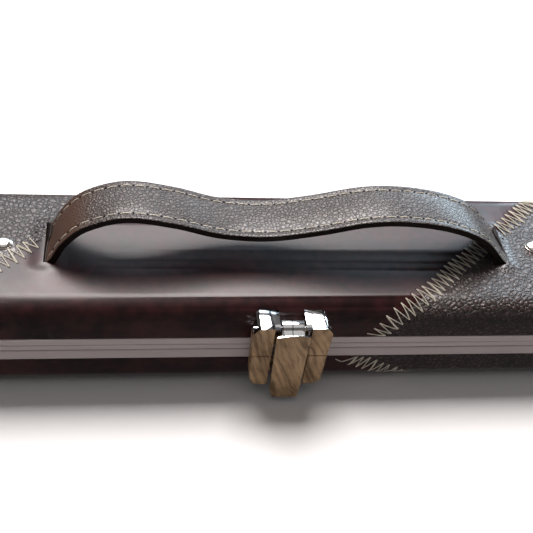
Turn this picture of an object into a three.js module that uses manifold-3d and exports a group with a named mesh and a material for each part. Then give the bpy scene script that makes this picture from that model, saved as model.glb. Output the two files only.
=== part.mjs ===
// Hard case for a two-piece cue: two wooden trays covered in leather, closed on an aluminium
// valance, hinged at the back, with three lever latches in front and a wave-shaped leather handle.
// Millimetres, +Z up. The case lies on its feet, X runs along it and the latches face -Y.
import * as THREE from 'three';
import { mergeVertices } from 'three/addons/utils/BufferGeometryUtils.js';
import Module from 'manifold-3d';

const wasm = await Module();
wasm.setup();

// Overall sizes of the closed case
const LENGTH = 810;
const DEPTH = 86;
const LID_HEIGHT = 27.5;
const BASE_HEIGHT = 22;
const PLAN_CORNER = 1;
const LID_EDGE_RADIUS = 11;
const BASE_EDGE_RADIUS = 6;

// Clearances
const GAP = 0.3;
const SPLIT_GAP = 0.3;
const STANDOFF = 0.6;

// Walls
const LEATHER = 1.5;
const RAIL = 5.5;
const LID_PANEL = 6;
const BASE_PANEL = 3;

// Aluminium valance, a channel over the edge of each tray
const LID_VALANCE = 8;
const BASE_VALANCE = 6;
const VALANCE_WALL = 1.4;
const VALANCE_FLANGE = 1.5;
const VALANCE_LEG = 1.2;
const VALANCE_LEG_DROP = 4;
const LIP_PROUD = 0.25;
const LIP_HEIGHT = 0.7;

// Diagonal seams of the leather, given on the middle line of the top and the bottom
const SEAM_LEFT = -119;
const SEAM_RIGHT = 103;
const SEAM_SLOPE_ACROSS = 1.1;
const LID_SEAM_SLOPE_DOWN = 0.67;
const BASE_SEAM_SLOPE_DOWN = 1.76;
const BASE_SEAM_SHIFT = 3.8;

// Foam liner with cue channels and a well for chalk
const BUTT_RADIUS = 15.2;
const SHAFT_RADIUS = 10;
const CHANNEL_LENGTH = 745;
const END_FOAM = 5;
const RIB = 5;
const WELL_LENGTH = 28;
const WELL_DEPTH = 13.5;

// Handle strap
const HANDLE_SHIFT = -1.1;
const STRAP_WIDTH = 27;
const STRAP_THICKNESS = 3.4;
const SLIT_X = 110.4;
const STRAP_RISE = 27.2;
const STRAP_TAIL = 34;
const STRAP_STEPS = 72;
const TAIL_BEND_START = 0.25;
const TAIL_BEND_END = 0.45;
const TAIL_SAG = 0.35;
const SLIT_ROOM_INNER = 3.4;
const SLIT_ROOM_OUTER = 9.3;
const RIVET_X = 132.3;
const RIVET_SHANK_RADIUS = 1.8;
const RIVET_HEAD_RADIUS = 4.4;
const RIVET_HEAD_HEIGHT = 1.9;
const WASHER_RADIUS = 4.5;
const WASHER_THICKNESS = 0.9;

// Latches
const LATCH_PITCH = 285;
const LATCH_PROUD = 9.5;
const LATCH_HALF_WIDTH = 18;
const LATCH_GAP_HALF = 8.7;
const EAR_INNER = 6.1;
const EAR_TOP = 24.5;
const EAR_ROOF = 1.5;
const EAR_CUT_BACK = 4;
const EAR_PLATE = 2;
const EAR_SHOULDER = 21;
const EAR_STEP = 2;
const EAR_BEVEL_WIDTH = 1.3;
const EAR_BEVEL_HEIGHT = 0.7;
const LATCH_DIVISION = 5.7;
const LATCH_DIVISION_GAP = 0.5;
const KEEPER_BOTTOM = -15.5;
const COLUMN_TAPER = 1;
const CORNER = 5;
const BRIDGE = 1.7;
const PIVOT_Y = -4.9;
const PIVOT_Z = 20;
const LATCH_PIN_RADIUS = 1.1;
const LATCH_PIN_PROUD = 1.8;
const KNUCKLE_RADIUS = 4.1;
const KNUCKLE_HALF_WIDTH = 5.2;
const LEVER_HALF_WIDTH = 8;
const LEVER_TAPER = 0.8;
const LEVER_PROUD = 11.6;
const LEVER_THICKNESS = 1.7;
const LEVER_TOP = 21.4;
const LEVER_BOTTOM = -21;
const LEVER_CURL = 2;
const LEVER_CURL_START = -16;
const LEVER_END_ROUND = 0.55;
const LEVER_CROWN = 1;

// Hinges
const HINGE_PITCH = 300;
const HINGE_WIDTH = 36;
const HINGE_LEAF = 1.2;
const HINGE_KNUCKLE_RADIUS = 2.2;
const HINGE_PIN_RADIUS = 0.9;
const HINGE_MIDDLE = 12;
const LID_LEAF_HEIGHT = 15;
const BASE_LEAF_HEIGHT = 13;

// Feet
const FOOT_X = 330;
const FOOT_INSET = 20;
const FOOT_RADIUS = 6.5;
const FOOT_FLAT_RADIUS = 3.6;
const FOOT_HEIGHT = 2.5;
const FOOT_SHOULDER = 0.45;
const FOOT_ROUND = 0.9;

// Places that follow from the sizes
const PLAN_RADIUS = LID_EDGE_RADIUS + PLAN_CORNER;
const WOOD_INSET = LEATHER + GAP;
const RAIL_INNER = WOOD_INSET + RAIL;
const LEG_OUTER = RAIL_INNER + GAP;
const LINING_INSET = LEG_OUTER + VALANCE_LEG + GAP;
const HALF_SPLIT = SPLIT_GAP / 2;
const HINGE_AXIS_Y = DEPTH + STANDOFF + HINGE_KNUCKLE_RADIUS;
const FRONT = -LEVER_PROUD - LEVER_CURL;
const BACK = HINGE_AXIS_Y + HINGE_KNUCKLE_RADIUS;

// Materials
const finish = (color, roughness, metalness = 0) =>
  new THREE.MeshStandardMaterial({ color, roughness, metalness });
const OXBLOOD = finish(0x2a1214, 0.25);
const PEBBLED = finish(0x4a3730, 0.5);
const STRAP_LEATHER = finish(0x5a4638, 0.45);
const WOOD = finish(0xb08a5c, 0.7);
const VALANCE = finish(0xb4aab0, 0.4, 0.9);
const CHROME = finish(0xd8d8dc, 0.12, 1);
const NICKEL = finish(0xd6cfbe, 0.2, 1);
const VELVET = finish(0x1c1820, 0.95);
const RUBBER = finish(0x161616, 0.8);

// Solids: conversion to and from the boolean library
function toSolid(geometry) {
  const bare = geometry.clone();
  bare.deleteAttribute('normal');
  bare.deleteAttribute('uv');
  const merged = mergeVertices(bare, 1e-4);
  const mesh = new wasm.Mesh({
    numProp: 3,
    vertProperties: new Float32Array(merged.attributes.position.array),
    triVerts: new Uint32Array(merged.index.array),
  });
  return new wasm.Manifold(mesh);
}

function toGeometry(solid) {
  const mesh = solid.getMesh();
  const geometry = new THREE.BufferGeometry();
  geometry.setAttribute('position', new THREE.BufferAttribute(mesh.vertProperties, 3));
  geometry.setIndex(new THREE.BufferAttribute(mesh.triVerts, 1));
  geometry.computeVertexNormals();
  return geometry;
}

// Solid helpers, each given by its corners or its outline
function block(x0, x1, y0, y1, z0, z1) {
  const geometry = new THREE.BoxGeometry(x1 - x0, y1 - y0, z1 - z0);
  return toSolid(geometry.translate((x0 + x1) / 2, (y0 + y1) / 2, (z0 + z1) / 2));
}

function rodAlongX(x0, x1, y, z, radius, sides = 20) {
  const geometry = new THREE.CylinderGeometry(radius, radius, x1 - x0, sides);
  geometry.rotateZ(Math.PI / 2);
  return toSolid(geometry.translate((x0 + x1) / 2, y, z));
}

function rodAlongZ(x, y, z0, z1, radius, sides = 20) {
  const geometry = new THREE.CylinderGeometry(radius, radius, z1 - z0, sides);
  geometry.rotateX(Math.PI / 2);
  return toSolid(geometry.translate(x, y, (z0 + z1) / 2));
}

function drawnOut(outline, depth, curveSegments) {
  return new THREE.ExtrudeGeometry(outline, { depth, bevelEnabled: false, curveSegments });
}

// An outline drawn in (y, z) and drawn out along X
function alongX(outline, x0, x1) {
  const geometry = drawnOut(outline, x1 - x0, 8);
  geometry.rotateX(Math.PI / 2).rotateZ(Math.PI / 2);
  return toSolid(geometry.translate(x0, 0, 0));
}

// An outline drawn in (x, z) and drawn out along Y
function alongY(outline, y0, y1) {
  const geometry = drawnOut(outline, y1 - y0, 8);
  geometry.rotateX(Math.PI / 2);
  return toSolid(geometry.translate(0, y1, 0));
}

// An outline drawn in (x, y) and drawn out along Z
function alongZ(outline, z0, z1) {
  const geometry = drawnOut(outline, z1 - z0, 4);
  return toSolid(geometry.translate(0, 0, z0));
}

function roundedRectangle(halfX, halfY, radius) {
  const outline = new THREE.Shape();
  outline.absarc(halfX - radius, halfY - radius, radius, 0, Math.PI / 2);
  outline.absarc(-halfX + radius, halfY - radius, radius, Math.PI / 2, Math.PI);
  outline.absarc(-halfX + radius, -halfY + radius, radius, Math.PI, Math.PI * 1.5);
  outline.absarc(halfX - radius, -halfY + radius, radius, Math.PI * 1.5, Math.PI * 2);
  return outline;
}

function casePlan(inset) {
  return roundedRectangle(LENGTH / 2 - inset, DEPTH / 2 - inset, Math.max(PLAN_RADIUS - inset, 0.5));
}

function ring(outerInset, innerInset, z0, z1) {
  return alongZ(casePlan(outerInset), z0, z1).subtract(alongZ(casePlan(innerInset), z0 - 1, z1 + 1));
}

// The outer form of half a case, flat at z = 0 and rounded at the top, taken in by inset
function trayForm(half, inset) {
  const radius = half.edgeRadius - inset;
  const outline = roundedRectangle(
    LENGTH / 2 - half.edgeRadius, DEPTH / 2 - half.edgeRadius, PLAN_RADIUS - half.edgeRadius);
  const geometry = new THREE.ExtrudeGeometry(outline, {
    depth: half.height, bevelSize: radius, bevelThickness: radius, bevelSegments: 4, curveSegments: 4,
  });
  geometry.translate(0, 0, -inset - radius);
  return toSolid(geometry).intersect(block(-LENGTH, LENGTH, -DEPTH, DEPTH, 0, 2 * half.height));
}

// Everything on the +X side of a seam, whose plane leans across and down the case
function beyondSeam(half, seamX, shift) {
  const across = new THREE.Vector3(half.seamAcross, 1, 0);
  const down = new THREE.Vector3(half.seamDown, 0, 1);
  const normal = across.cross(down).normalize();
  const geometry = new THREE.BoxGeometry(4 * LENGTH, 4 * LENGTH, 4 * LENGTH);
  geometry.translate(2 * LENGTH, 0, 0);
  const turn = new THREE.Quaternion().setFromUnitVectors(new THREE.Vector3(1, 0, 0), normal);
  geometry.applyQuaternion(turn);
  geometry.translate(seamX + half.seamShift + shift, 0, half.height);
  return toSolid(geometry);
}

// The two halves of the case. Each is modelled with the split at z = 0 and its skin upwards.
const LID = {
  name: 'lid', height: LID_HEIGHT, edgeRadius: LID_EDGE_RADIUS, panel: LID_PANEL,
  valance: LID_VALANCE, seamAcross: SEAM_SLOPE_ACROSS,
  seamDown: LID_SEAM_SLOPE_DOWN, seamShift: 0, frontSide: -1, lip: LIP_PROUD,
};
const BASE = {
  name: 'base', height: BASE_HEIGHT, edgeRadius: BASE_EDGE_RADIUS, panel: BASE_PANEL,
  valance: BASE_VALANCE, seamAcross: -SEAM_SLOPE_ACROSS,
  seamDown: BASE_SEAM_SLOPE_DOWN, seamShift: BASE_SEAM_SHIFT, frontSide: 1, lip: 0,
};

function woodParts(half) {
  const form = trayForm(half, WOOD_INSET);
  const underPanel = half.height - WOOD_INSET - half.panel;
  const railFoot = HALF_SPLIT + VALANCE_FLANGE + GAP;
  const railTop = underPanel - GAP;
  const endX = LENGTH / 2 - RAIL_INNER;
  const railY = DEPTH / 2 - RAIL_INNER;
  const rail = (y0, y1) => form.intersect(block(-endX + GAP, endX - GAP, y0, y1, railFoot, railTop));
  const end = (x0, x1) => form.intersect(block(x0, x1, -DEPTH, DEPTH, railFoot, railTop));
  const low = rail(-DEPTH, -railY);
  const high = rail(railY, DEPTH);
  return {
    panel: form.intersect(block(-LENGTH, LENGTH, -DEPTH, DEPTH, underPanel, half.height)),
    rail_front: half.frontSide < 0 ? low : high,
    rail_back: half.frontSide < 0 ? high : low,
    end_left: end(-LENGTH, -endX),
    end_right: end(endX, LENGTH),
  };
}

function valanceParts(half) {
  const legFoot = HALF_SPLIT + VALANCE_FLANGE + VALANCE_LEG_DROP;
  const wall = ring(0, VALANCE_WALL, HALF_SPLIT, half.valance);
  const flange = ring(0, LEG_OUTER + VALANCE_LEG, HALF_SPLIT, HALF_SPLIT + VALANCE_FLANGE);
  const leg = ring(LEG_OUTER, LEG_OUTER + VALANCE_LEG, HALF_SPLIT, legFoot);
  let channel = wall.add(flange).add(leg);
  if (half.lip > 0) {
    channel = channel.add(ring(-half.lip, VALANCE_WALL, half.valance - LIP_HEIGHT, half.valance));
  }
  const barX = LENGTH / 2 - PLAN_RADIUS;
  const reach = LENGTH + DEPTH;
  const cut = (x0, x1, y0, y1) => channel.intersect(block(x0, x1, y0, y1, -1, half.height));
  const low = cut(-barX, barX, -reach, 0);
  const high = cut(-barX, barX, 0, reach);
  return {
    valance_front: half.frontSide < 0 ? low : high,
    valance_back: half.frontSide < 0 ? high : low,
    valance_left: cut(-reach, -barX - GAP, -reach, reach),
    valance_right: cut(barX + GAP, reach, -reach, reach),
  };
}

function leatherParts(half, openings) {
  const edge = half.valance + GAP;
  let skin = trayForm(half, 0).subtract(trayForm(half, LEATHER));
  skin = skin.intersect(block(-LENGTH, LENGTH, -DEPTH, DEPTH, edge, 2 * half.height));
  for (const opening of openings) {
    skin = skin.subtract(opening);
  }
  const pastLeft = skin.intersect(beyondSeam(half, SEAM_LEFT, 0));
  return {
    leather_left: skin.subtract(beyondSeam(half, SEAM_LEFT, -GAP)),
    leather_centre: pastLeft.subtract(beyondSeam(half, SEAM_RIGHT, -GAP)),
    leather_right: skin.intersect(beyondSeam(half, SEAM_RIGHT, 0)),
  };
}

// Foam liner: the butt lies towards the back, the shaft towards the front
function liner(half) {
  const side = half.frontSide;
  const halfX = LENGTH / 2 - LINING_INSET;
  const halfY = DEPTH / 2 - LINING_INSET;
  const top = half.height - WOOD_INSET - half.panel - GAP;
  const start = -halfX + END_FOAM;
  const spare = 2 * halfY - 2 * BUTT_RADIUS - 2 * SHAFT_RADIUS - RIB;
  const buttY = -side * (halfY - spare / 2 - BUTT_RADIUS);
  const shaftY = side * (halfY - spare / 2 - SHAFT_RADIUS);
  const wellX = start + CHANNEL_LENGTH + RIB;
  const wellY = halfY - spare / 2;
  return alongZ(casePlan(LINING_INSET), HALF_SPLIT + GAP, top)
    .subtract(rodAlongX(start, start + CHANNEL_LENGTH, buttY, 0, BUTT_RADIUS, 28))
    .subtract(rodAlongX(start, start + CHANNEL_LENGTH, shaftY, 0, SHAFT_RADIUS, 24))
    .subtract(block(wellX, wellX + WELL_LENGTH, -wellY, wellY, -1, WELL_DEPTH));
}

// Handle: the strap's middle line as seen from the front, measured from the lid's top
const TAIL_DEPTH = LEATHER + GAP + STRAP_THICKNESS / 2;
const STRAP_FLOOR = TAIL_DEPTH + STRAP_THICKNESS / 2 + TAIL_SAG + GAP;

function strapLine() {
  const across = (share) => share * SLIT_X;
  const up = (share) => share * STRAP_RISE;
  const tail = (end) => [
    [end * (SLIT_X + STRAP_TAIL * TAIL_BEND_START), -TAIL_DEPTH],
    [end * (SLIT_X + STRAP_TAIL * TAIL_BEND_END), -TAIL_DEPTH],
    [end * (SLIT_X + STRAP_TAIL), -TAIL_DEPTH],
  ];
  const wave = [
    [across(-0.995), up(0)],
    [across(-0.935), up(0.42)],
    [across(-0.841), up(0.783)],
    [across(-0.678), up(0.993)],
    [across(-0.479), up(0.879)],
    [across(-0.289), up(0.66)],
    [across(-0.081), up(0.599)],
    [across(0.132), up(0.739)],
    [across(0.344), up(0.945)],
    [across(0.522), up(0.974)],
    [across(0.716), up(0.849)],
    [across(0.883), up(0.559)],
    [across(1.005), up(0.048)],
  ];
  const points = [...tail(-1).reverse(), ...wave, ...tail(1)];
  return new THREE.SplineCurve(points.map(([x, z]) => new THREE.Vector2(x, z)));
}

function strap() {
  const line = strapLine();
  const upper = [];
  const lower = [];
  for (let i = 0; i <= STRAP_STEPS; i += 1) {
    const point = line.getPoint(i / STRAP_STEPS);
    const along = line.getTangent(i / STRAP_STEPS);
    const side = new THREE.Vector2(-along.y, along.x).multiplyScalar(STRAP_THICKNESS / 2);
    upper.push(point.clone().add(side));
    lower.unshift(point.clone().sub(side));
  }
  const outline = new THREE.Shape([...upper, ...lower].reverse());
  let solid = alongY(outline, -STRAP_WIDTH / 2, STRAP_WIDTH / 2);
  for (const end of [-1, 1]) {
    const hole = rodAlongZ(end * RIVET_X, 0, -3 * TAIL_DEPTH, TAIL_DEPTH, RIVET_SHANK_RADIUS + GAP);
    solid = solid.subtract(hole);
  }
  return solid;
}

// Room for the strap's tails in the lid's panel, and the holes of its rivets
function handlePockets() {
  const pockets = [];
  for (const end of [-1, 1]) {
    const inner = end * (SLIT_X - SLIT_ROOM_INNER);
    const outer = end * (SLIT_X + STRAP_TAIL + 1);
    const x = [inner, outer].map((value) => value + HANDLE_SHIFT).sort((a, b) => a - b);
    const half = STRAP_WIDTH / 2 + 2 * GAP;
    pockets.push(block(x[0], x[1], -half, half, LID_HEIGHT - STRAP_FLOOR, 2 * LID_HEIGHT));
    const rivetX = end * RIVET_X + HANDLE_SHIFT;
    pockets.push(rodAlongZ(rivetX, 0, 0, 2 * LID_HEIGHT, RIVET_SHANK_RADIUS + GAP));
    const under = LID_HEIGHT - WOOD_INSET - LID_PANEL;
    const washerTop = under + WASHER_THICKNESS + GAP;
    pockets.push(rodAlongZ(rivetX, 0, under - 1, washerTop, WASHER_RADIUS + GAP, 28));
  }
  return pockets;
}

function leatherSlits() {
  const slits = [];
  for (const end of [-1, 1]) {
    const x = [end * (SLIT_X - SLIT_ROOM_INNER), end * (SLIT_X + SLIT_ROOM_OUTER)]
      .map((value) => value + HANDLE_SHIFT).sort((a, b) => a - b);
    const half = STRAP_WIDTH / 2 + 2 * GAP;
    slits.push(block(x[0], x[1], -half, half, LID_HEIGHT / 2, 2 * LID_HEIGHT));
    const rivetX = end * RIVET_X + HANDLE_SHIFT;
    slits.push(rodAlongZ(rivetX, 0, LID_HEIGHT / 2, 2 * LID_HEIGHT, RIVET_SHANK_RADIUS + GAP));
  }
  return slits;
}

// Domed rivet, with its head's underside at z = 0
function rivet() {
  const shank = LEATHER + 2 * GAP + LID_PANEL - WASHER_THICKNESS - GAP;
  const points = [new THREE.Vector2(0, -shank), new THREE.Vector2(RIVET_SHANK_RADIUS, -shank)];
  points.push(new THREE.Vector2(RIVET_SHANK_RADIUS, 0));
  const steps = 6;
  for (let i = 0; i <= steps; i += 1) {
    const angle = (i / steps) * (Math.PI / 2);
    const radius = i === steps ? 0 : RIVET_HEAD_RADIUS * Math.cos(angle);
    points.push(new THREE.Vector2(radius, RIVET_HEAD_HEIGHT * Math.sin(angle)));
  }
  return toSolid(new THREE.LatheGeometry(points, 28).rotateX(Math.PI / 2));
}

function washer() {
  return rodAlongZ(0, 0, 0, WASHER_THICKNESS, WASHER_RADIUS, 28);
}

// Latch pieces, with x = 0 in the latch's middle, y = 0 on the case's front and z = 0 at the split
function columnOutline(z0, z1, cornerAt) {
  const taper = (z) => LATCH_HALF_WIDTH + (z > 0 ? COLUMN_TAPER / 2 : -COLUMN_TAPER / 2);
  const outer = taper(cornerAt);
  const outline = new THREE.Shape();
  outline.moveTo(LATCH_GAP_HALF, z0);
  if (cornerAt > 0) {
    outline.lineTo(LATCH_HALF_WIDTH, z0);
    outline.lineTo(outer, EAR_SHOULDER);
    outline.lineTo(outer - EAR_STEP, z1 - EAR_BEVEL_HEIGHT);
    outline.lineTo(outer - EAR_STEP - EAR_BEVEL_WIDTH, z1);
  } else {
    outline.lineTo(outer - CORNER, z0);
    outline.absarc(outer - CORNER, z0 + CORNER, CORNER, -Math.PI / 2, 0);
    outline.lineTo(LATCH_HALF_WIDTH, z1);
  }
  outline.lineTo(LATCH_GAP_HALF, z1);
  return outline;
}

function mirrored(solid) {
  const geometry = toGeometry(solid);
  geometry.rotateZ(Math.PI);
  return toSolid(geometry);
}

// A right-hand column and its left-hand twin, drawn out between the case and the latch's front
function columns(outline) {
  const right = alongY(outline, -LATCH_PROUD, -STANDOFF);
  const twin = mirrored(alongY(outline, STANDOFF, LATCH_PROUD));
  return [right, twin];
}

// The lid's rounded front edge, drawn out along X and grown by a clearance
function lidEdgeCutter(clearance) {
  const radius = LID_EDGE_RADIUS + clearance;
  const centreZ = LID_HEIGHT - LID_EDGE_RADIUS;
  const outline = new THREE.Shape();
  outline.moveTo(-clearance, -BASE_HEIGHT);
  outline.lineTo(-clearance, centreZ);
  outline.absarc(LID_EDGE_RADIUS, centreZ, radius, Math.PI, Math.PI / 2, true);
  outline.lineTo(DEPTH / 2, centreZ + radius);
  outline.lineTo(DEPTH / 2, -BASE_HEIGHT);
  return alongX(outline, -2 * LATCH_HALF_WIDTH, 2 * LATCH_HALF_WIDTH);
}

// The part of an ear beside the knuckle, with its front rounded to let the lever swing past
function earLug() {
  const sweep = PIVOT_Y + LEVER_PROUD - LEVER_THICKNESS - GAP;
  const front = -LATCH_PROUD + EAR_CUT_BACK;
  const under = EAR_TOP - EAR_ROOF;
  const start = Math.PI - Math.asin((under - PIVOT_Z) / sweep);
  const end = Math.PI - Math.asin((EAR_TOP - PIVOT_Z) / sweep);
  const outline = new THREE.Shape();
  outline.moveTo(LID_EDGE_RADIUS, PIVOT_Z - KNUCKLE_RADIUS);
  outline.lineTo(front, PIVOT_Z - KNUCKLE_RADIUS);
  outline.lineTo(front, under);
  outline.absarc(PIVOT_Y, PIVOT_Z, sweep, start, end, true);
  outline.lineTo(LID_EDGE_RADIUS, EAR_TOP);
  return outline;
}

function latchBracket() {
  const foot = LATCH_DIVISION + LATCH_DIVISION_GAP / 2;
  const reach = LID_EDGE_RADIUS;
  const outline = columnOutline(foot, EAR_TOP, 1);
  const right = alongY(outline, -LATCH_PROUD, reach);
  const left = mirrored(alongY(outline, -reach, LATCH_PROUD));
  const lug = earLug();
  const side = LATCH_HALF_WIDTH + COLUMN_TAPER / 2 - EAR_STEP;
  const plateBack = -LATCH_PROUD + EAR_PLATE;
  const neck = (x0, x1) => block(x0, x1, plateBack, reach, PIVOT_Z - KNUCKLE_RADIUS, EAR_TOP);
  const bridge = block(-LATCH_GAP_HALF - 1, LATCH_GAP_HALF + 1, -STANDOFF - BRIDGE, -STANDOFF,
    foot, PIVOT_Z - KNUCKLE_RADIUS - 2 * GAP);
  const hole = rodAlongX(-2 * LATCH_HALF_WIDTH, 2 * LATCH_HALF_WIDTH, PIVOT_Y, PIVOT_Z,
    LATCH_PIN_RADIUS + GAP);
  return right.add(left)
    .subtract(neck(side, 2 * side)).subtract(neck(-2 * side, -side))
    .add(alongX(lug, EAR_INNER, LATCH_GAP_HALF + 1)).add(alongX(lug, -LATCH_GAP_HALF - 1, -EAR_INNER))
    .add(bridge).subtract(lidEdgeCutter(STANDOFF)).subtract(hole);
}

function latchKeeper() {
  const top = LATCH_DIVISION - LATCH_DIVISION_GAP / 2;
  const [right, left] = columns(columnOutline(KEEPER_BOTTOM, top, -1));
  const bridge = block(-LATCH_GAP_HALF - 1, LATCH_GAP_HALF + 1, -STANDOFF - BRIDGE, -STANDOFF,
    KEEPER_BOTTOM + BRIDGE, -BRIDGE);
  const catchBar = block(-LATCH_GAP_HALF - 1, LATCH_GAP_HALF + 1, -STANDOFF - 2 * BRIDGE, -STANDOFF,
    -3 * BRIDGE, -BRIDGE);
  return right.add(left).add(bridge).add(catchBar);
}

// The lever's side, from the curled thumb lip up to the plate's top, then the hook behind it
function leverPlate() {
  const back = -LEVER_PROUD + LEVER_THICKNESS;
  const outline = new THREE.Shape();
  outline.moveTo(back, LEVER_CURL_START);
  outline.lineTo(back, LEVER_TOP - LEVER_THICKNESS / 2);
  outline.lineTo(back - LEVER_THICKNESS / 2, LEVER_TOP);
  outline.lineTo(-LEVER_PROUD + LEVER_THICKNESS / 3, LEVER_TOP);
  outline.lineTo(-LEVER_PROUD, LEVER_TOP - LEVER_THICKNESS);
  outline.lineTo(-LEVER_PROUD, LEVER_CURL_START);
  const tip = LEVER_BOTTOM + LEVER_CURL;
  outline.quadraticCurveTo(-LEVER_PROUD, tip, FRONT, tip - LEVER_CURL / 2);
  outline.lineTo(FRONT + LEVER_CURL / 4, LEVER_BOTTOM);
  outline.quadraticCurveTo(back, LEVER_BOTTOM, back, LEVER_CURL_START);
  return alongX(outline, -LEVER_HALF_WIDTH, LEVER_HALF_WIDTH);
}

function leverFace() {
  const outline = new THREE.Shape();
  const foot = LEVER_HALF_WIDTH - LEVER_TAPER;
  const corner = foot * LEVER_END_ROUND;
  outline.moveTo(-LEVER_HALF_WIDTH, LEVER_TOP - LEVER_CROWN);
  outline.lineTo(-foot, LEVER_BOTTOM + corner);
  outline.absarc(-foot + corner, LEVER_BOTTOM + corner, corner, Math.PI, Math.PI * 1.5);
  outline.absarc(foot - corner, LEVER_BOTTOM + corner, corner, Math.PI * 1.5, Math.PI * 2);
  outline.lineTo(LEVER_HALF_WIDTH, LEVER_TOP - LEVER_CROWN);
  outline.quadraticCurveTo(0, LEVER_TOP + LEVER_CROWN, -LEVER_HALF_WIDTH, LEVER_TOP - LEVER_CROWN);
  return alongY(outline, 2 * FRONT, 0);
}

function latchLever() {
  const back = -LEVER_PROUD + LEVER_THICKNESS;
  const hookTip = -STANDOFF - 2 * BRIDGE - 2 * GAP;
  const half = KNUCKLE_HALF_WIDTH;
  const knuckle = rodAlongX(-half, half, PIVOT_Y, PIVOT_Z, KNUCKLE_RADIUS, 28);
  const cheek = new THREE.Shape();
  cheek.moveTo(PIVOT_Y, PIVOT_Z - KNUCKLE_RADIUS);
  cheek.lineTo(PIVOT_Y, PIVOT_Z + KNUCKLE_RADIUS);
  cheek.lineTo(back - LEVER_THICKNESS / 2, LEVER_TOP - LEVER_THICKNESS / 4);
  cheek.lineTo(back - LEVER_THICKNESS / 2, PIVOT_Z - KNUCKLE_RADIUS);
  const web = alongX(cheek, -half, half);
  const hook = block(-half, half, back - LEVER_THICKNESS / 2, hookTip,
    KEEPER_BOTTOM + 2 * BRIDGE, -3 * BRIDGE - 2 * GAP);
  const hole = rodAlongX(-LATCH_HALF_WIDTH, LATCH_HALF_WIDTH, PIVOT_Y, PIVOT_Z, LATCH_PIN_RADIUS + GAP);
  return leverPlate().intersect(leverFace()).add(knuckle).add(web).add(hook).subtract(hole);
}

function latchPin() {
  const half = LATCH_HALF_WIDTH + COLUMN_TAPER / 2 - EAR_STEP + LATCH_PIN_PROUD;
  return rodAlongX(-half, half, PIVOT_Y, PIVOT_Z, LATCH_PIN_RADIUS, 16);
}

// Hinge pieces, with x = 0 in the middle, y = 0 on the axis and z = 0 at the split
function hingeLeaf(height, direction, knuckles) {
  const half = HINGE_WIDTH / 2;
  const y0 = -HINGE_KNUCKLE_RADIUS;
  const y1 = y0 + HINGE_LEAF;
  const clear = HINGE_KNUCKLE_RADIUS + GAP;
  const z = [direction * clear, direction * height].sort((a, b) => a - b);
  let leaf = block(-half, half, y0, y1, z[0], z[1]);
  for (const [x0, x1] of knuckles) {
    const web = [0, direction * (clear + 1)].sort((a, b) => a - b);
    leaf = leaf.add(block(x0, x1, y0, y1, web[0], web[1]));
    leaf = leaf.add(rodAlongX(x0, x1, 0, 0, HINGE_KNUCKLE_RADIUS, 20));
  }
  return leaf.subtract(rodAlongX(-HINGE_WIDTH, HINGE_WIDTH, 0, 0, HINGE_PIN_RADIUS + GAP, 16));
}

function lidLeaf() {
  return hingeLeaf(LID_LEAF_HEIGHT, 1, [[-HINGE_MIDDLE / 2, HINGE_MIDDLE / 2]]);
}

function baseLeaf() {
  const inner = HINGE_MIDDLE / 2 + GAP;
  const outer = HINGE_WIDTH / 2;
  return hingeLeaf(BASE_LEAF_HEIGHT, -1, [[-outer, -inner], [inner, outer]]);
}

function hingePin() {
  return rodAlongX(-HINGE_WIDTH / 2, HINGE_WIDTH / 2, 0, 0, HINGE_PIN_RADIUS, 12);
}

// Low domed foot with a flat sole, its top at z = 0
function foot() {
  const shoulder = FOOT_HEIGHT * FOOT_SHOULDER;
  const points = [
    new THREE.Vector2(0, -FOOT_HEIGHT),
    new THREE.Vector2(FOOT_FLAT_RADIUS, -FOOT_HEIGHT),
    new THREE.Vector2((FOOT_FLAT_RADIUS + FOOT_RADIUS) / 2, -FOOT_HEIGHT * FOOT_ROUND),
    new THREE.Vector2(FOOT_RADIUS - GAP, -shoulder),
    new THREE.Vector2(FOOT_RADIUS, 0),
    new THREE.Vector2(0, 0),
  ];
  return toSolid(new THREE.LatheGeometry(points, 24).rotateX(Math.PI / 2));
}

// Assembly
function place(group, name, solid, material, x = 0, y = 0, z = 0) {
  const mesh = new THREE.Mesh(toGeometry(solid), material);
  mesh.name = name;
  mesh.position.set(x, y, z);
  group.add(mesh);
}

function placeAll(group, prefix, parts, materialOf) {
  for (const [name, solid] of Object.entries(parts)) {
    place(group, `${prefix}_${name}`, solid, materialOf(name));
  }
}

function leatherMaterial(name) {
  return name === 'leather_centre' ? OXBLOOD : PEBBLED;
}

function placeHandle(group) {
  place(group, 'handle_strap', strap(), STRAP_LEATHER, HANDLE_SHIFT, 0, LID_HEIGHT);
  for (const [side, end] of [['left', -1], ['right', 1]]) {
    const x = end * RIVET_X + HANDLE_SHIFT;
    place(group, `handle_rivet_${side}`, rivet(), NICKEL, x, 0, LID_HEIGHT + GAP);
    place(group, `handle_washer_${side}`, washer(), NICKEL, x, 0, LID_HEIGHT - WOOD_INSET - LID_PANEL);
  }
}

function lidAssembly() {
  const group = new THREE.Group();
  const wood = woodParts(LID);
  for (const pocket of handlePockets()) {
    wood.panel = wood.panel.subtract(pocket);
  }
  placeAll(group, 'lid', wood, () => WOOD);
  placeAll(group, 'lid', valanceParts(LID), () => VALANCE);
  placeAll(group, 'lid', leatherParts(LID, leatherSlits()), leatherMaterial);
  place(group, 'lid_liner', liner(LID), VELVET);
  placeHandle(group);
  group.position.y = DEPTH / 2;
  return group;
}

function baseAssembly() {
  const group = new THREE.Group();
  placeAll(group, 'base', woodParts(BASE), () => WOOD);
  placeAll(group, 'base', valanceParts(BASE), () => VALANCE);
  placeAll(group, 'base', leatherParts(BASE, []), leatherMaterial);
  place(group, 'base_liner', liner(BASE), VELVET);
  group.rotation.x = Math.PI;
  group.position.y = DEPTH / 2;
  return group;
}

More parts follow.
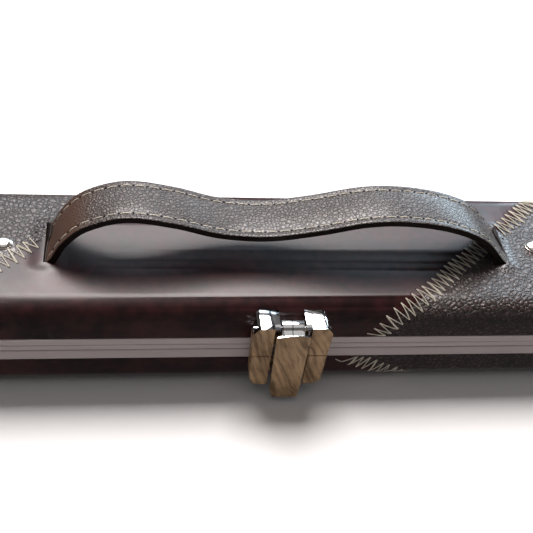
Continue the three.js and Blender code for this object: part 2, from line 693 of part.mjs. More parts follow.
function latches() {
  const group = new THREE.Group();
  for (const [side, x] of [['left', -LATCH_PITCH], ['centre', 0], ['right', LATCH_PITCH]]) {
    place(group, `latch_${side}_bracket`, latchBracket(), CHROME, x);
    place(group, `latch_${side}_lever`, latchLever(), CHROME, x);
    place(group, `latch_${side}_pin`, latchPin(), CHROME, x);
    place(group, `latch_${side}_keeper`, latchKeeper(), CHROME, x);
  }
  return group;
}

function hinges() {
  const group = new THREE.Group();
  for (const [side, x] of [['left', -HINGE_PITCH], ['centre', 0], ['right', HINGE_PITCH]]) {
    place(group, `hinge_${side}_lid_leaf`, lidLeaf(), CHROME, x);
    place(group, `hinge_${side}_base_leaf`, baseLeaf(), CHROME, x);
    place(group, `hinge_${side}_pin`, hingePin(), CHROME, x);
  }
  group.position.y = HINGE_AXIS_Y;
  return group;
}

function feet() {
  const group = new THREE.Group();
  for (const [end, x] of [['left', -FOOT_X], ['right', FOOT_X]]) {
    place(group, `foot_front_${end}`, foot(), RUBBER, x, FOOT_INSET);
    place(group, `foot_back_${end}`, foot(), RUBBER, x, DEPTH - FOOT_INSET);
  }
  group.position.z = -BASE_HEIGHT - GAP;
  return group;
}

// The origin is under the middle of the case, on the surface that the feet stand on
const cueCase = new THREE.Group();
const closedCase = new THREE.Group();
closedCase.add(lidAssembly(), baseAssembly(), latches(), hinges(), feet());
closedCase.position.set(0, -(FRONT + BACK) / 2, BASE_HEIGHT + GAP + FOOT_HEIGHT);
cueCase.add(closedCase);

export default cueCase;
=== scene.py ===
"""Looks of the leather-covered cue case: leather, stitching, strap, valance, latches, hinges and lining."""

import itertools
import math
import random

import bmesh
import bpy
import numpy as np
from mathutils import Matrix, Vector


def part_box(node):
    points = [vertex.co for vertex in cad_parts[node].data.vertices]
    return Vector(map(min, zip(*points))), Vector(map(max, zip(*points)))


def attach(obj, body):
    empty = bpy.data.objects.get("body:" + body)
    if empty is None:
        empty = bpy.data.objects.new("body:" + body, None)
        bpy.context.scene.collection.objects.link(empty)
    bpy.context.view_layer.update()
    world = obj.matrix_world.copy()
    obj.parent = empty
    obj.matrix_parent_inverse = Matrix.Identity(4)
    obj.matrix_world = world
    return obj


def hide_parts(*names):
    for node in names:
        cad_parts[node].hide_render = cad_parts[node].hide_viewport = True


bl_info = {
    "name": "Cue Case",
    "version": (1, 0, 0),
    "blender": (4, 5, 0),
    "location": "View3D > Sidebar > Cue Case",
    "description": "Builds the leather, stitching, metal and lining of a hard cue case on its frame",
    "category": "Object",
}

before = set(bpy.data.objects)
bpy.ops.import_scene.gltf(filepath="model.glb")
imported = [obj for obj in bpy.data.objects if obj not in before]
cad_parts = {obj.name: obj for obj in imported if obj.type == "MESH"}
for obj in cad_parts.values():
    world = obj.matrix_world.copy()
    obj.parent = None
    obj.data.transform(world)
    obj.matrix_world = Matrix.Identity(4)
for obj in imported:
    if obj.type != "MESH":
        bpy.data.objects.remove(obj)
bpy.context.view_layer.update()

MM = 0.001
SIDES = ("left", "right")
LATCHES = ("left", "centre", "right")

# Places read from the frame
LID_LEATHER_LOW, LID_LEATHER_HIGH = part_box("lid_leather_centre")
BASE_LEATHER_LOW, BASE_LEATHER_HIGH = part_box("base_leather_centre")
VALANCE_LOW, VALANCE_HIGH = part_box("base_valance_front")
END_LOW, END_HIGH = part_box("base_valance_left")
LID_VALANCE_LOW, LID_VALANCE_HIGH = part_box("lid_valance_front")
STRAP_LOW, STRAP_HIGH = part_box("handle_strap")
FRONT = BASE_LEATHER_LOW.y
BACK = BASE_LEATHER_HIGH.y
MIDDLE = (FRONT + BACK) / 2
LEFT_END = END_LOW.x
RIGHT_END = -LEFT_END
SPLIT = (VALANCE_HIGH.z + LID_VALANCE_LOW.z) / 2
LID_TOP = LID_LEATHER_HIGH.z
PLAN_RADIUS = END_HIGH.x - LEFT_END
HANDLE_MIDDLE = (STRAP_LOW.x + STRAP_HIGH.x) / 2
STRAP_WIDTH = STRAP_HIGH.y - STRAP_LOW.y


def length(name, text, millimetres):
    """A size in metres that the sidebar shows as a length."""
    return bpy.props.FloatProperty(
        name=name, description=text, default=millimetres * MM, unit="LENGTH", precision=5
    )


def colour(name, text, value):
    """A colour that the sidebar shows as a swatch."""
    return bpy.props.FloatVectorProperty(
        name=name, description=text, default=value, subtype="COLOR", size=3, min=0, max=1
    )


class CueCaseSizes(bpy.types.PropertyGroup):
    leather: length("Leather", "Thickness of the leather cover", 1.5)
    leather_turn: length("Leather turn", "Rounding of the leather's cut edges", 0.45)
    lid_edge: length("Lid edge", "Radius of the lid's long edges", 11)
    base_edge: length("Base edge", "Radius of the base's long edges", 6)
    seam_left: length("Left seam", "Where the left seam crosses the middle of the top", -119)
    seam_right: length("Right seam", "Where the right seam crosses the middle of the top", 103)
    seam_gap: length("Seam gap", "Gap between two pieces of leather", 0.3)
    zigzag_width: length("Zigzag width", "Width of the sewing over a seam", 10)
    zigzag_pitch: length("Zigzag pitch", "Step from one tip of the sewing to the next", 4.1)
    thread: length("Thread", "Radius of the seam thread", 0.26)
    awl_hole: length("Awl hole", "Radius of the holes at the tips", 0.6)
    lip_thickness: length("Slit lip", "Thickness of the leather at the slits", 1.1)
    strap_thickness: length("Strap", "Thickness of the handle strap", 3.4)
    strap_edge: length("Strap edge", "Rounding of the strap's edges", 0.8)
    stitch_row: length("Stitch row", "Distance of a stitch row from the strap's edge", 3.7)
    stitch_pitch: length("Stitch pitch", "Step from one saddle stitch to the next", 6.3)
    stitch_length: length("Stitch", "Length of a saddle stitch", 4.5)
    stitch_radius: length("Stitch radius", "Radius of a saddle stitch", 0.3)


class CueCaseColours(bpy.types.PropertyGroup):
    oxblood: colour("Oxblood", "Smooth leather of the middle", (0.030, 0.0050, 0.0055))
    pebbled: colour("Pebbled brown", "Grained leather of the ends", (0.052, 0.026, 0.021))
    strap: colour("Strap brown", "Leather of the handle", (0.068, 0.040, 0.030))
    strap_worn: colour("Worn strap", "The strap's smooth left end", (0.085, 0.036, 0.018))
    thread: colour("Thread", "Sewing thread", (0.66, 0.60, 0.49))
    satin: colour("Satin aluminium", "Valance", (0.62, 0.54, 0.53))
    nickel: colour("Nickel", "Rivets and hinge screws", (0.78, 0.74, 0.68))
    # Colours of the painted reflection of a wooden floor on the latches' fronts, also painted shade on their
    # sides and groove
    reflected_grain_dark: colour("Latch figure", "Dark lines of the latches' fronts", (0.11, 0.062, 0.028))
    reflected_grain_light: colour("Latch ground", "Ground of the latches' fronts", (0.42, 0.265, 0.14))
    velvet: colour("Velvet", "Lining", (0.012, 0.010, 0.013))
    floor: colour("Floor", "Floor of the stage", (0.88, 0.88, 0.88))


# Shading


class Channel:
    """A node's output. Arithmetic on it adds Math nodes."""

    def __init__(self, finish, socket):
        self.finish = finish
        self.socket = socket

    def maths(self, operation, *values):
        return self.finish.node("Math", {"operation": operation}, dict(enumerate(values)))

    def __add__(self, other):
        return self.maths("ADD", self, other)

    __radd__ = __add__

    def __sub__(self, other):
        return self.maths("SUBTRACT", self, other)

    def __rsub__(self, other):
        return self.maths("SUBTRACT", other, self)

    def __mul__(self, other):
        return self.maths("MULTIPLY", self, other)

    __rmul__ = __mul__

    def __pow__(self, other):
        return self.maths("POWER", self, other)

    def __abs__(self):
        return self.maths("ABSOLUTE", self)

    def __mod__(self, other):
        return self.maths("FLOORED_MODULO", self, other)


class Finish:
    """One procedural material, with a Principled surface."""

    def __init__(self, name, **surface):
        self.material = bpy.data.materials.new(name)
        self.material.use_nodes = True
        self.tree = self.material.node_tree
        self.surface = self.tree.nodes["Principled BSDF"]
        for socket, value in surface.items():
            self.set(socket.replace("_", " ").title().replace("Ior", "IOR"), value)

    def plug(self, socket, value):
        """Links a channel to a socket, or sets the socket to a value."""
        if isinstance(value, Channel):
            self.tree.links.new(value.socket, socket)
        elif hasattr(value, "__len__") and len(socket.default_value) > len(value):
            socket.default_value = (*value, 1)
        else:
            socket.default_value = value

    def set(self, socket, value):
        """Gives the surface a value or a channel."""
        self.plug(self.surface.inputs[socket], value)

    def node(self, kind, settings=None, sockets=None, output=0):
        """Adds a node of a kind, with its settings first and then its sockets, and returns one output."""
        added = self.tree.nodes.new("ShaderNode" + kind)
        for setting, value in (settings or {}).items():
            setattr(added, setting, value)
        for socket, value in (sockets or {}).items():
            self.plug(added.inputs[socket], value)
        return Channel(self, added.outputs[output])

    def place(self):
        """The point on the object, in metres."""
        return self.node("TexCoord", output="Object")

    def noise(self, scale, detail=2, place=None, **sockets):
        """A soft random field from 0 to 1 with about scale lumps to the metre."""
        values = {"Vector": place or self.place(), "Scale": scale, "Detail": detail}
        values.update(sockets)
        return self.node("TexNoise", None, values)

    def steps(self, factor, low, high):
        """0 below low, 1 above high and a smooth rise between."""
        return self.node("MapRange", {"interpolation_type": "SMOOTHSTEP"}, {0: factor, 1: low, 2: high})

    def mix(self, factor, first, second):
        """A colour between two."""
        return self.node("Mix", {"data_type": "RGBA"}, {0: factor, 6: first, 7: second}, 2)

    def bump(self, height, depth, strength=1, under=None):
        """A normal from a height, whose whole range is depth metres."""
        sockets = {"Height": height, "Distance": depth, "Strength": strength}
        if under:
            sockets["Normal"] = under
        return self.node("Bump", None, sockets)


def scaled(value, share):
    """A lighter or darker colour."""
    return tuple(share * part for part in value)


def stretched(finish, along, across, up):
    """The point on the object with each direction stretched by its share."""
    place = finish.place()
    return finish.node("VectorMath", {"operation": "MULTIPLY"}, {0: place, 1: (along, across, up)})


def pebble_height(finish, grain):
    """Domed pebbles of about one grain each, with sharp creases between, from 0 to 1."""
    place = finish.place()
    push = finish.node("TexNoise", None, {"Vector": place, "Scale": 0.6 / grain, "Detail": 2}, "Color")
    shift = (0.7 * grain,) * 3
    warped = finish.node("VectorMath", {"operation": "MULTIPLY_ADD"}, {0: push, 1: shift, 2: place})
    cell = {"Vector": warped, "Scale": 1 / grain, "Randomness": 1}
    edge = finish.node("TexVoronoi", {"feature": "DISTANCE_TO_EDGE"}, cell)
    small = finish.node("TexVoronoi", {"feature": "DISTANCE_TO_EDGE"}, {**cell, "Scale": 2.2 / grain})
    return (edge * 2.2) ** 0.6 * 0.8 + (small * 2) ** 0.6 * 0.2


def oxblood_leather(colours):
    """Smooth glazed leather with a soft red mottle and fine pores."""
    finish = Finish("oxblood_leather", specular_ior_level=0.35, coat_roughness=0.36)
    cloud = finish.noise(30, 4, Roughness=0.6)
    patch = finish.noise(210, 4)
    vein = finish.noise(75, 6, Distortion=1.2, Roughness=0.7)
    tone = finish.steps(cloud * 0.5 + patch * 0.3 + vein * 0.2, 0.38, 0.62)
    finish.set("Base Color", finish.mix(tone, scaled(colours.oxblood, 0.35), scaled(colours.oxblood, 1.5)))
    finish.set("Roughness", patch * 0.14 + 0.33)
    finish.set("Coat Weight", cloud * 0.1 + 0.2)
    pores = finish.noise(1300, 3)
    ripple = finish.noise(60, 3)
    soft = finish.bump(ripple, 0.4 * MM, 0.35)
    finish.set("Normal", finish.bump(pores, 0.07 * MM, 0.6, soft))
    return finish.material


def pebbled_leather(colours):
    """Grained leather. The creases are painted darker as painted shade, and they are duller than the tops of
    the grain.
    """
    base = colours.pebbled
    finish = Finish("pebbled_leather", specular_ior_level=0.75, coat_roughness=0.24)
    height = pebble_height(finish, 2.4 * MM)
    cloud = finish.noise(30, 3)
    tone = finish.steps(cloud, 0.3, 0.7)
    ground = finish.mix(tone, scaled(base, 0.8), scaled(base, 1.2))
    # painted shade: the creases between the pebbles darkened to a quarter of the leather's colour
    finish.set("Base Color", finish.mix(finish.steps(height, 0.15, 0.8), scaled(base, 0.25), ground))
    finish.set("Roughness", 0.6 - 0.3 * height)
    finish.set("Coat Weight", height * 0.9)
    fine = finish.noise(1900, 2)
    finish.set("Normal", finish.bump(fine, 0.04 * MM, 0.5, finish.bump(height, 0.75 * MM)))
    return finish.material


def strap_leather(colours):
    """Grained leather that is worn smooth and warm near the strap's left foot."""
    finish = Finish("strap_leather", specular_ior_level=0.7, coat_roughness=0.24)
    flat = finish.node("SeparateXYZ", None, {0: finish.node("UVMap")})
    cloud = finish.noise(45, 3)
    worn = 1 - finish.steps(flat + cloud * 0.02, 0.062, 0.085)
    height = pebble_height(finish, 1.8 * MM) * (1 - worn * 0.75)
    ground = finish.mix(worn, colours.strap, colours.strap_worn)
    shaded = finish.mix(finish.steps(cloud, 0.3, 0.7) * 0.5, ground, scaled(colours.strap, 0.7))
    # painted shade: the creases of the grain darkened, less so on the worn left end
    painted_crease_shade = finish.mix(worn, scaled(colours.strap, 0.25), scaled(colours.strap_worn, 0.75))
    finish.set("Base Color", finish.mix(finish.steps(height, 0.12, 0.7), painted_crease_shade, shaded))
    finish.set("Roughness", 0.58 - height * 0.2)
    finish.set("Coat Weight", height * 0.75 * (1 - worn * 0.85))
    fine = finish.noise(2300, 2)
    finish.set("Normal", finish.bump(fine, 0.04 * MM, 0.5, finish.bump(height, 0.6 * MM)))
    return finish.material


# Dark burnished edge leather of the strap, also used as painted shade on the strap's underside and on the
# slit lips
def burnished_edge(colours):
    finish = Finish("burnished_edge", specular_ior_level=0.2)
    rub = finish.noise(420, 3, place=stretched(finish, 0.3, 1, 2))
    finish.set("Base Color", finish.mix(rub, scaled(colours.strap, 0.06), scaled(colours.strap, 0.25)))
    finish.set("Roughness", rub * 0.2 + 0.34)
    finish.set("Normal", finish.bump(rub, 0.12 * MM))
    return finish.material


def waxed_thread(colours):
    finish = Finish("waxed_thread", specular_ior_level=0.3, sheen_weight=0.3)
    fibre = finish.noise(2600, 3)
    soil = finish.noise(90, 2)
    clean = finish.mix(finish.steps(soil, 0.3, 0.7), scaled(colours.thread, 0.78), colours.thread)
    finish.set("Base Color", finish.mix(finish.steps(fibre, 0.25, 0.6), scaled(colours.thread, 0.55), clean))
    finish.set("Roughness", fibre * 0.2 + 0.55)
    finish.set("Normal", finish.bump(fibre, 0.2 * MM))
    return finish.material


def hole_shadow(colours):
    finish = Finish("awl_hole", specular_ior_level=0.1)
    fibre = finish.noise(3000, 1)
    finish.set("Base Color", finish.mix(fibre, (0.004, 0.003, 0.003), (0.014, 0.009, 0.008)))
    finish.set("Roughness", fibre * 0.1 + 0.85)
    return finish.material


def satin_aluminium(colours):
    finish = Finish("satin_aluminium", metallic=0.5)
    streak = finish.noise(900, 3, place=stretched(finish, 0.012, 1, 1))
    cloud = finish.noise(14, 2)
    finish.set("Base Color", finish.mix(streak, scaled(colours.satin, 0.9), scaled(colours.satin, 1.07)))
    finish.set("Roughness", streak * 0.1 + cloud * 0.08 + 0.36)
    finish.set("Normal", finish.bump(streak, 0.03 * MM, 0.6))
    return finish.material


def polished_nickel(colours):
    """Polished plating with wiping marks and a few fine scratches."""
    finish = Finish("polished_nickel", metallic=1.0)
    wipe = finish.noise(160, 4, place=stretched(finish, 1, 0.4, 2))
    scratch = finish.noise(1200, 2, place=stretched(finish, 0.1, 1, 1))
    finish.set("Base Color", finish.mix(wipe, scaled(colours.nickel, 0.9), colours.nickel))
    finish.set("Roughness", wipe * 0.09 + 0.16)
    finish.set("Normal", finish.bump(scratch, 0.02 * MM, 0.4))
    return finish.material


def chrome_with_painted_reflections(colours):
    """Mirror plating whose colour carries painted reflections: dark streaks painted into it stand for the
    room it reflects.
    """
    finish = Finish("chrome", metallic=1.0)
    drift = finish.noise(120, 2, place=stretched(finish, 1, 0.12, 0.12))
    # painted reflection: dark streaks of the reflected room, painted into the plating's colour
    streak = finish.steps(abs(drift - 0.45), 0.006, 0.03)
    finish.set("Base Color", finish.mix(streak, (0.16, 0.17, 0.19), (0.92, 0.93, 0.94)))
    wipe = finish.noise(300, 3)
    finish.set("Roughness", wipe * 0.06 + 0.04)
    finish.set("Normal", finish.bump(wipe, 0.01 * MM))
    return finish.material


def figured_plate(colours):
    """The latches' fronts, with a painted reflection of a wooden floor: a fine wavy grain that leans from
    the upper left to the lower right. The same finish serves as painted shade on the lower sides and in the
    groove.
    """
    finish = Finish("figured_plate", specular_ior_level=0.3, coat_roughness=0.15)
    lean = (0, math.radians(21), 0)
    place = finish.node("Mapping", None, {"Vector": finish.place(), "Rotation": lean})
    push = finish.node("TexNoise", None, {"Vector": place, "Scale": 48, "Detail": 3}, "Color")
    shift = {0: push, 1: (0.0085, 0, 0.004), 2: place}
    warped = finish.node("VectorMath", {"operation": "MULTIPLY_ADD"}, shift)
    bands = {"wave_type": "BANDS", "bands_direction": "X", "wave_profile": "SIN"}
    drawn = finish.node("VectorMath", {"operation": "MULTIPLY"}, {0: warped, 1: (1, 1, 0.07)})
    broad = finish.noise(480, 4, place=drawn, Roughness=0.6)
    fine = finish.node("TexWave", bands, {"Vector": warped, "Scale": 560, "Distortion": 4.0, "Detail": 2})
    cloud = finish.noise(130, 4)
    # painted reflection: wavy bands of a reflected wooden floor, dark lines on a lighter ground
    reflected_grain = finish.steps(broad * 0.75 + fine * 0.15 + cloud * 0.25, 0.42, 0.72)
    finish.set("Base Color", finish.mix(reflected_grain, colours.reflected_grain_dark, colours.reflected_grain_light))
    finish.set("Roughness", 0.5 - reflected_grain * 0.12)
    finish.set("Coat Weight", reflected_grain * 0.08 + 0.04)
    finish.set("Normal", finish.bump(reflected_grain, 0.1 * MM))
    return finish.material


def velvet_lining(colours):
    finish = Finish("velvet", sheen_weight=0.7, sheen_roughness=0.35, specular_ior_level=0.1)
    pile = finish.noise(2400, 2)
    brushed = finish.noise(34, 3, place=stretched(finish, 0.4, 1, 1))
    nap = finish.steps(brushed, 0.3, 0.7) * 0.7 + pile * 0.3
    finish.set("Base Color", finish.mix(nap, scaled(colours.velvet, 0.5), scaled(colours.velvet, 2)))
    finish.set("Roughness", pile * 0.1 + 0.88)
    finish.set("Normal", finish.bump(pile, 0.25 * MM))
    return finish.material


def birch_plywood(colours):
    finish = Finish("birch_plywood", specular_ior_level=0.3)
    height = finish.node("SeparateXYZ", None, {0: finish.place()}, 2)
    ply = finish.steps(abs((height * 700) % 1 - 0.5), 0.1, 0.3)
    grain = finish.noise(500, 4, place=stretched(finish, 0.05, 1, 0.6))
    light = finish.mix(grain, (0.50, 0.34, 0.19), (0.66, 0.48, 0.29))
    finish.set("Base Color", finish.mix(ply * 0.5, light, (0.30, 0.18, 0.095)))
    finish.set("Roughness", grain * 0.15 + 0.6)
    finish.set("Normal", finish.bump(grain, 0.15 * MM))
    return finish.material


def foot_rubber(colours):
    finish = Finish("foot_rubber", specular_ior_level=0.35)
    dust = finish.noise(700, 3)
    finish.set("Base Color", finish.mix(dust, (0.008, 0.008, 0.008), (0.022, 0.021, 0.020)))
    finish.set("Roughness", dust * 0.15 + 0.7)
    finish.set("Normal", finish.bump(dust, 0.1 * MM))
    return finish.material


def stage_floor(colours):
    finish = Finish("stage_floor", specular_ior_level=0.05)
    haze = finish.noise(3, 2)
    finish.set("Base Color", finish.mix(haze, scaled(colours.floor, 0.985), colours.floor))
    finish.set("Roughness", haze * 0.05 + 0.9)
    return finish.material


MAKERS = {
    "oxblood_leather": oxblood_leather,
    "pebbled_leather": pebbled_leather,
    "strap_leather": strap_leather,
    "burnished_edge": burnished_edge,
    "thread": waxed_thread,
    "awl_hole": hole_shadow,
    "satin_aluminium": satin_aluminium,
    "chrome": chrome_with_painted_reflections,
    "polished_nickel": polished_nickel,
    "figured_plate": figured_plate,
    "velvet": velvet_lining,
    "birch_plywood": birch_plywood,
    "foot_rubber": foot_rubber,
    "stage_floor": stage_floor,
}
FINISHES = {}


def finish_named(name):
    """The material of a finish, made when it is first asked for."""
    if name not in FINISHES:
        FINISHES[name] = MAKERS[name](bpy.context.scene.cue_case_colours)
    return FINISHES[name]


# Modelling


def activate(obj):
    """Leaves obj alone selected and active."""
    bpy.ops.object.select_all(action="DESELECT")
    obj.select_set(True)
    bpy.context.view_layer.objects.active = obj


def edit(obj, mode="EDGE"):
    """Opens obj in edit mode."""
    activate(obj)
    bpy.ops.object.mode_set(mode="EDIT")
    bpy.ops.mesh.select_mode(type=mode)


def close_edit():
    bpy.ops.object.mode_set(mode="OBJECT")


def select_edges(obj, wanted):
    """In edit mode, selects the edges whose ends pass a test."""
    bpy.ops.mesh.select_all(action="DESELECT")
    mesh = bmesh.from_edit_mesh(obj.data)
    for edge in mesh.edges:
        edge.select_set(bool(wanted(edge.verts[0].co, edge.verts[1].co)))
    mesh.select_flush_mode()
    bmesh.update_edit_mesh(obj.data)


def select_faces(obj, wanted):
    """In edit mode, selects the faces whose normal and middle pass a test."""
    bpy.ops.mesh.select_mode(type="FACE")
    bpy.ops.mesh.select_all(action="DESELECT")
    mesh = bmesh.from_edit_mesh(obj.data)
    for face in mesh.faces:
        face.select_set(bool(wanted(face.normal, face.calc_center_median())))
    bmesh.update_edit_mesh(obj.data)


def edit_all(obj):
    """Opens obj in edit mode with all of it selected."""
    edit(obj, "VERT")
    bpy.ops.mesh.select_all(action="SELECT")


def added(operator, name, **settings):
    """A new object from an operator, called with nothing selected."""
    bpy.ops.object.select_all(action="DESELECT")
    operator(**settings)
    obj = bpy.context.object
    obj.name = name
    return obj


def hold_place(obj):
    """Takes an object's place, turn and scale into its mesh."""
    activate(obj)
    bpy.ops.object.transform_apply(location=True, rotation=True, scale=True)


def block(name, low, high):
    """A box between two corners, with its place in its mesh."""
    low = Vector(low)
    high = Vector(high)
    obj = added(bpy.ops.mesh.primitive_cube_add, name, size=1, location=(low + high) / 2)
    obj.scale = high - low
    hold_place(obj)
    return obj


def modify(obj, kind, **settings):
    """Adds a modifier and applies it."""
    activate(obj)
    modifier = obj.modifiers.new(kind.title(), kind)
    for setting, value in settings.items():
        setattr(modifier, setting, value)
    bpy.ops.object.modifier_apply(modifier=modifier.name)


def copy_of(obj, name):
    """A copy with a mesh of its own, and with none of the properties of a frame node."""
    twin = obj.copy()
    twin.data = obj.data.copy()
    twin.name = name
    for key in list(twin.keys()):
        del twin[key]
    twin.parent = None
    twin.hide_render = False
    twin.hide_viewport = False
    bpy.context.scene.collection.objects.link(twin)
    return twin


def join(pieces, name):
    """One object from several."""
    bpy.ops.object.select_all(action="DESELECT")
    for piece in pieces:
        piece.select_set(True)
    bpy.context.view_layer.objects.active = pieces[0]
    if len(pieces) > 1:
        bpy.ops.object.join()
    joined = bpy.context.object
    joined.name = name
    hold_place(joined)
    return joined


def mesh_points(obj):
    """The vertices of a mesh, as an array."""
    points = np.empty(len(obj.data.vertices) * 3)
    obj.data.vertices.foreach_get("co", points)
    return points.reshape(-1, 3)


def move_points(obj, points):
    obj.data.vertices.foreach_set("co", np.ascontiguousarray(points).ravel())
    obj.data.update()


def right_way_out(obj):
    """Merges doubles and turns all the faces outwards."""
    edit_all(obj)
    bpy.ops.mesh.remove_doubles(threshold=0.00001)
    bpy.ops.mesh.normals_make_consistent(inside=False)
    close_edit()


def smooth(obj, degrees=35):
    activate(obj)
    bpy.ops.object.shade_smooth_by_angle(angle=math.radians(degrees))


def paint(obj, *names):
    """Gives a piece its finishes, the first to every face."""
    obj.data.materials.clear()
    for name in names:
        obj.data.materials.append(finish_named(name))
    obj.data.polygons.foreach_set("material_index", [0] * len(obj.data.polygons))


def settle(obj, body, nodes=()):
    """Hands a finished piece to its body, in place of its frame nodes."""
    obj.data.name = obj.name
    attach(obj, body)
    if nodes:
        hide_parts(*nodes)


def swept(name, stations, section):
    """A bar whose section of (out, up) points is carried along stations of (point, outward)."""
    columns = len(stations) - 1
    rows = len(section)
    grid = {"x_subdivisions": columns, "y_subdivisions": rows, "size": 1}
    obj = added(bpy.ops.mesh.primitive_grid_add, name, **grid)
    share = mesh_points(obj) + 0.5
    station = np.rint(share[:, 0] * columns).astype(int)
    corner = np.rint(share[:, 1] * rows).astype(int) % len(section)
    where = np.array([point for point, outward in stations])[station]
    outward = np.array([outward for point, outward in stations])[station]
    shape = np.array(section)[corner]
    up = np.array([0, 0, 1])
    move_points(obj, where + outward * shape[:, :1] + up * shape[:, 1:])
    edit_all(obj)
    bpy.ops.mesh.remove_doubles(threshold=0.000001)
    bpy.ops.mesh.fill_holes(sides=0)
    bpy.ops.mesh.select_all(action="SELECT")
    bpy.ops.mesh.normals_make_consistent(inside=False)
    close_edit()
    return obj


def arc(centre, radius, start, end, steps):
    """Stations round an upright quarter, each with its point and its outward direction."""
    stations = []
    for i in range(steps + 1):
        angle = math.radians(start + (end - start) * i / steps)
        outward = Vector((math.cos(angle), math.sin(angle), 0))
        stations.append((Vector(centre) + outward * radius, outward))
    return stations


SEAM_ACROSS = 1.1
LID_SEAM_DOWN = 0.67
BASE_SEAM_DOWN = 1.76
BASE_SEAM_SHIFT = 3.8 * MM


class Half:
    """One tray of the case, and the path that its leather follows from front to back."""

    def __init__(self, name, up, edge_node, radius, seam_down, seam_shift):
        low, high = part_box(edge_node)
        self.name = name
        self.up = up
        self.edge = low.z if up > 0 else high.z
        self.top = high.z if up > 0 else low.z
        self.radius = radius
        self.down = seam_down
        self.shift = seam_shift
        wall = abs(self.top - self.edge) - radius
        bend = radius * math.pi / 2
        flat = BACK - FRONT - 2 * radius
        self.turns = np.cumsum([wall, bend, flat, bend, wall])
        self.length = self.turns[-1]

    def skin(self, along):
        """Heights and depths of points on the skin, and their outward directions."""
        a, b, c, d, e = self.turns
        along = np.asarray(along, float)
        shelf = self.top - self.up * self.radius
        first = np.clip((along - a) / self.radius, 0, math.pi / 2)
        second = np.clip((along - c) / self.radius, 0, math.pi / 2)
        turn = first + second
        y = FRONT + self.radius * (1 - np.cos(first)) + np.clip(along - b, 0, c - b)
        y = y + self.radius * np.sin(second)
        z = np.minimum(along, a) - a + self.radius * np.sin(first)
        z = z - self.radius * (1 - np.cos(second)) - np.maximum(along - d, 0)
        return y, shelf + self.up * z, -np.cos(turn), self.up * np.sin(turn)

    def lay(self, obj):
        """Lays a piece modelled flat, as x, distance from the front edge, and height, over the skin."""
        flat = mesh_points(obj)
        y, z, out, up = self.skin(flat[:, 1])
        rise = flat[:, 2]
        lifted = z + swell(flat[:, 0], y) * (up > 0.999)
        move_points(obj, np.stack([flat[:, 0], y + out * rise, lifted + up * rise], axis=1))
        right_way_out(obj)

    def seam_x(self, seam, along):
        """Where a seam is on the skin, for distances from the front edge."""
        y, z, out, up = self.skin(along)
        lean = self.down * self.up * (z - self.top)
        return seam + self.shift + SEAM_ACROSS * (y - MIDDLE) + lean

    def seam_plane(self, seam):
        """A point on a seam's plane, and the plane's direction towards the right."""
        normal = Vector((1, -SEAM_ACROSS, -self.down * self.up)).normalized()
        return Vector((seam + self.shift, MIDDLE, self.top)), normal


def halves(sizes):
    """The lid and the base."""
    return (
        Half("lid", 1, "lid_leather_centre", sizes.lid_edge, LID_SEAM_DOWN, 0),
        Half("base", -1, "base_leather_centre", sizes.base_edge, BASE_SEAM_DOWN, BASE_SEAM_SHIFT),
    )


# Leather of the trays

CORNER_STEPS = 12
SLIT_INNER = 107.4 * MM
SLIT_OUTER = 112.9 * MM
SLIT_HALF_WIDTH = 13.9 * MM
SWELL_RISE = 1.5 * MM
SWELL_INNER_SHARE = 0.3
SWELL_REACH = 9 * MM
SWELL_SPREAD = 6 * MM


def eased(share):
    """A soft step from 0 to 1."""
    share = np.clip(share, 0, 1)
    return share * share * (3 - 2 * share)


def swell(x, y):
    """How far the lid's leather rises beside the slits, where the strap passes under it."""
    rise = np.zeros_like(x)
    for end in (-1, 1):
        past = end * (x - HANDLE_MIDDLE) - SLIT_OUTER
        inside = -past - (SLIT_OUTER - SLIT_INNER)
        beside = np.abs(y - MIDDLE) - SLIT_HALF_WIDTH
        ends = np.stack([past / SWELL_REACH, inside / SWELL_SPREAD, beside / SWELL_SPREAD])
        away = np.linalg.norm(np.maximum(ends, 0), axis=0)
        share = SWELL_INNER_SHARE + (1 - SWELL_INNER_SHARE) * eased(1 + past / SWELL_SPREAD)
        rise = np.maximum(rise, SWELL_RISE * share * (1 - eased(away)))
    return rise


def in_slit(x, y, room):
    """Whether a point is in or very near one of the slits."""
    out = abs(x - HANDLE_MIDDLE)
    return SLIT_INNER - room < out < SLIT_OUTER + room and abs(y - MIDDLE) < SLIT_HALF_WIDTH + room


def tray_shell(half):
    """A thin open tray with rounded corners and edges, with its leather side out."""
    heights = sorted((half.edge, half.top))
    obj = block("shell", (LEFT_END, FRONT, heights[0]), (RIGHT_END, BACK, heights[1]))
    edit(obj)
    select_edges(obj, lambda a, b: abs(a.z - b.z) > MM)
    bpy.ops.mesh.bevel(offset=PLAN_RADIUS, segments=CORNER_STEPS, affect="EDGES")
    select_edges(obj, lambda a, b: max(abs(a.z - half.top), abs(b.z - half.top)) < MM / 100)
    bpy.ops.mesh.bevel(offset=half.radius, segments=CORNER_STEPS, affect="EDGES")
    select_faces(obj, lambda normal, middle: abs(middle.z - half.edge) < MM / 100)
    bpy.ops.mesh.delete(type="FACE")
    close_edit()
    return obj


def score_lines(obj, places, direction):
    """Adds a line of edges across a piece at each place along a direction."""
    for place in places:
        edit_all(obj)
        bpy.ops.mesh.bisect(plane_co=Vector(direction) * place, plane_no=direction)
        close_edit()


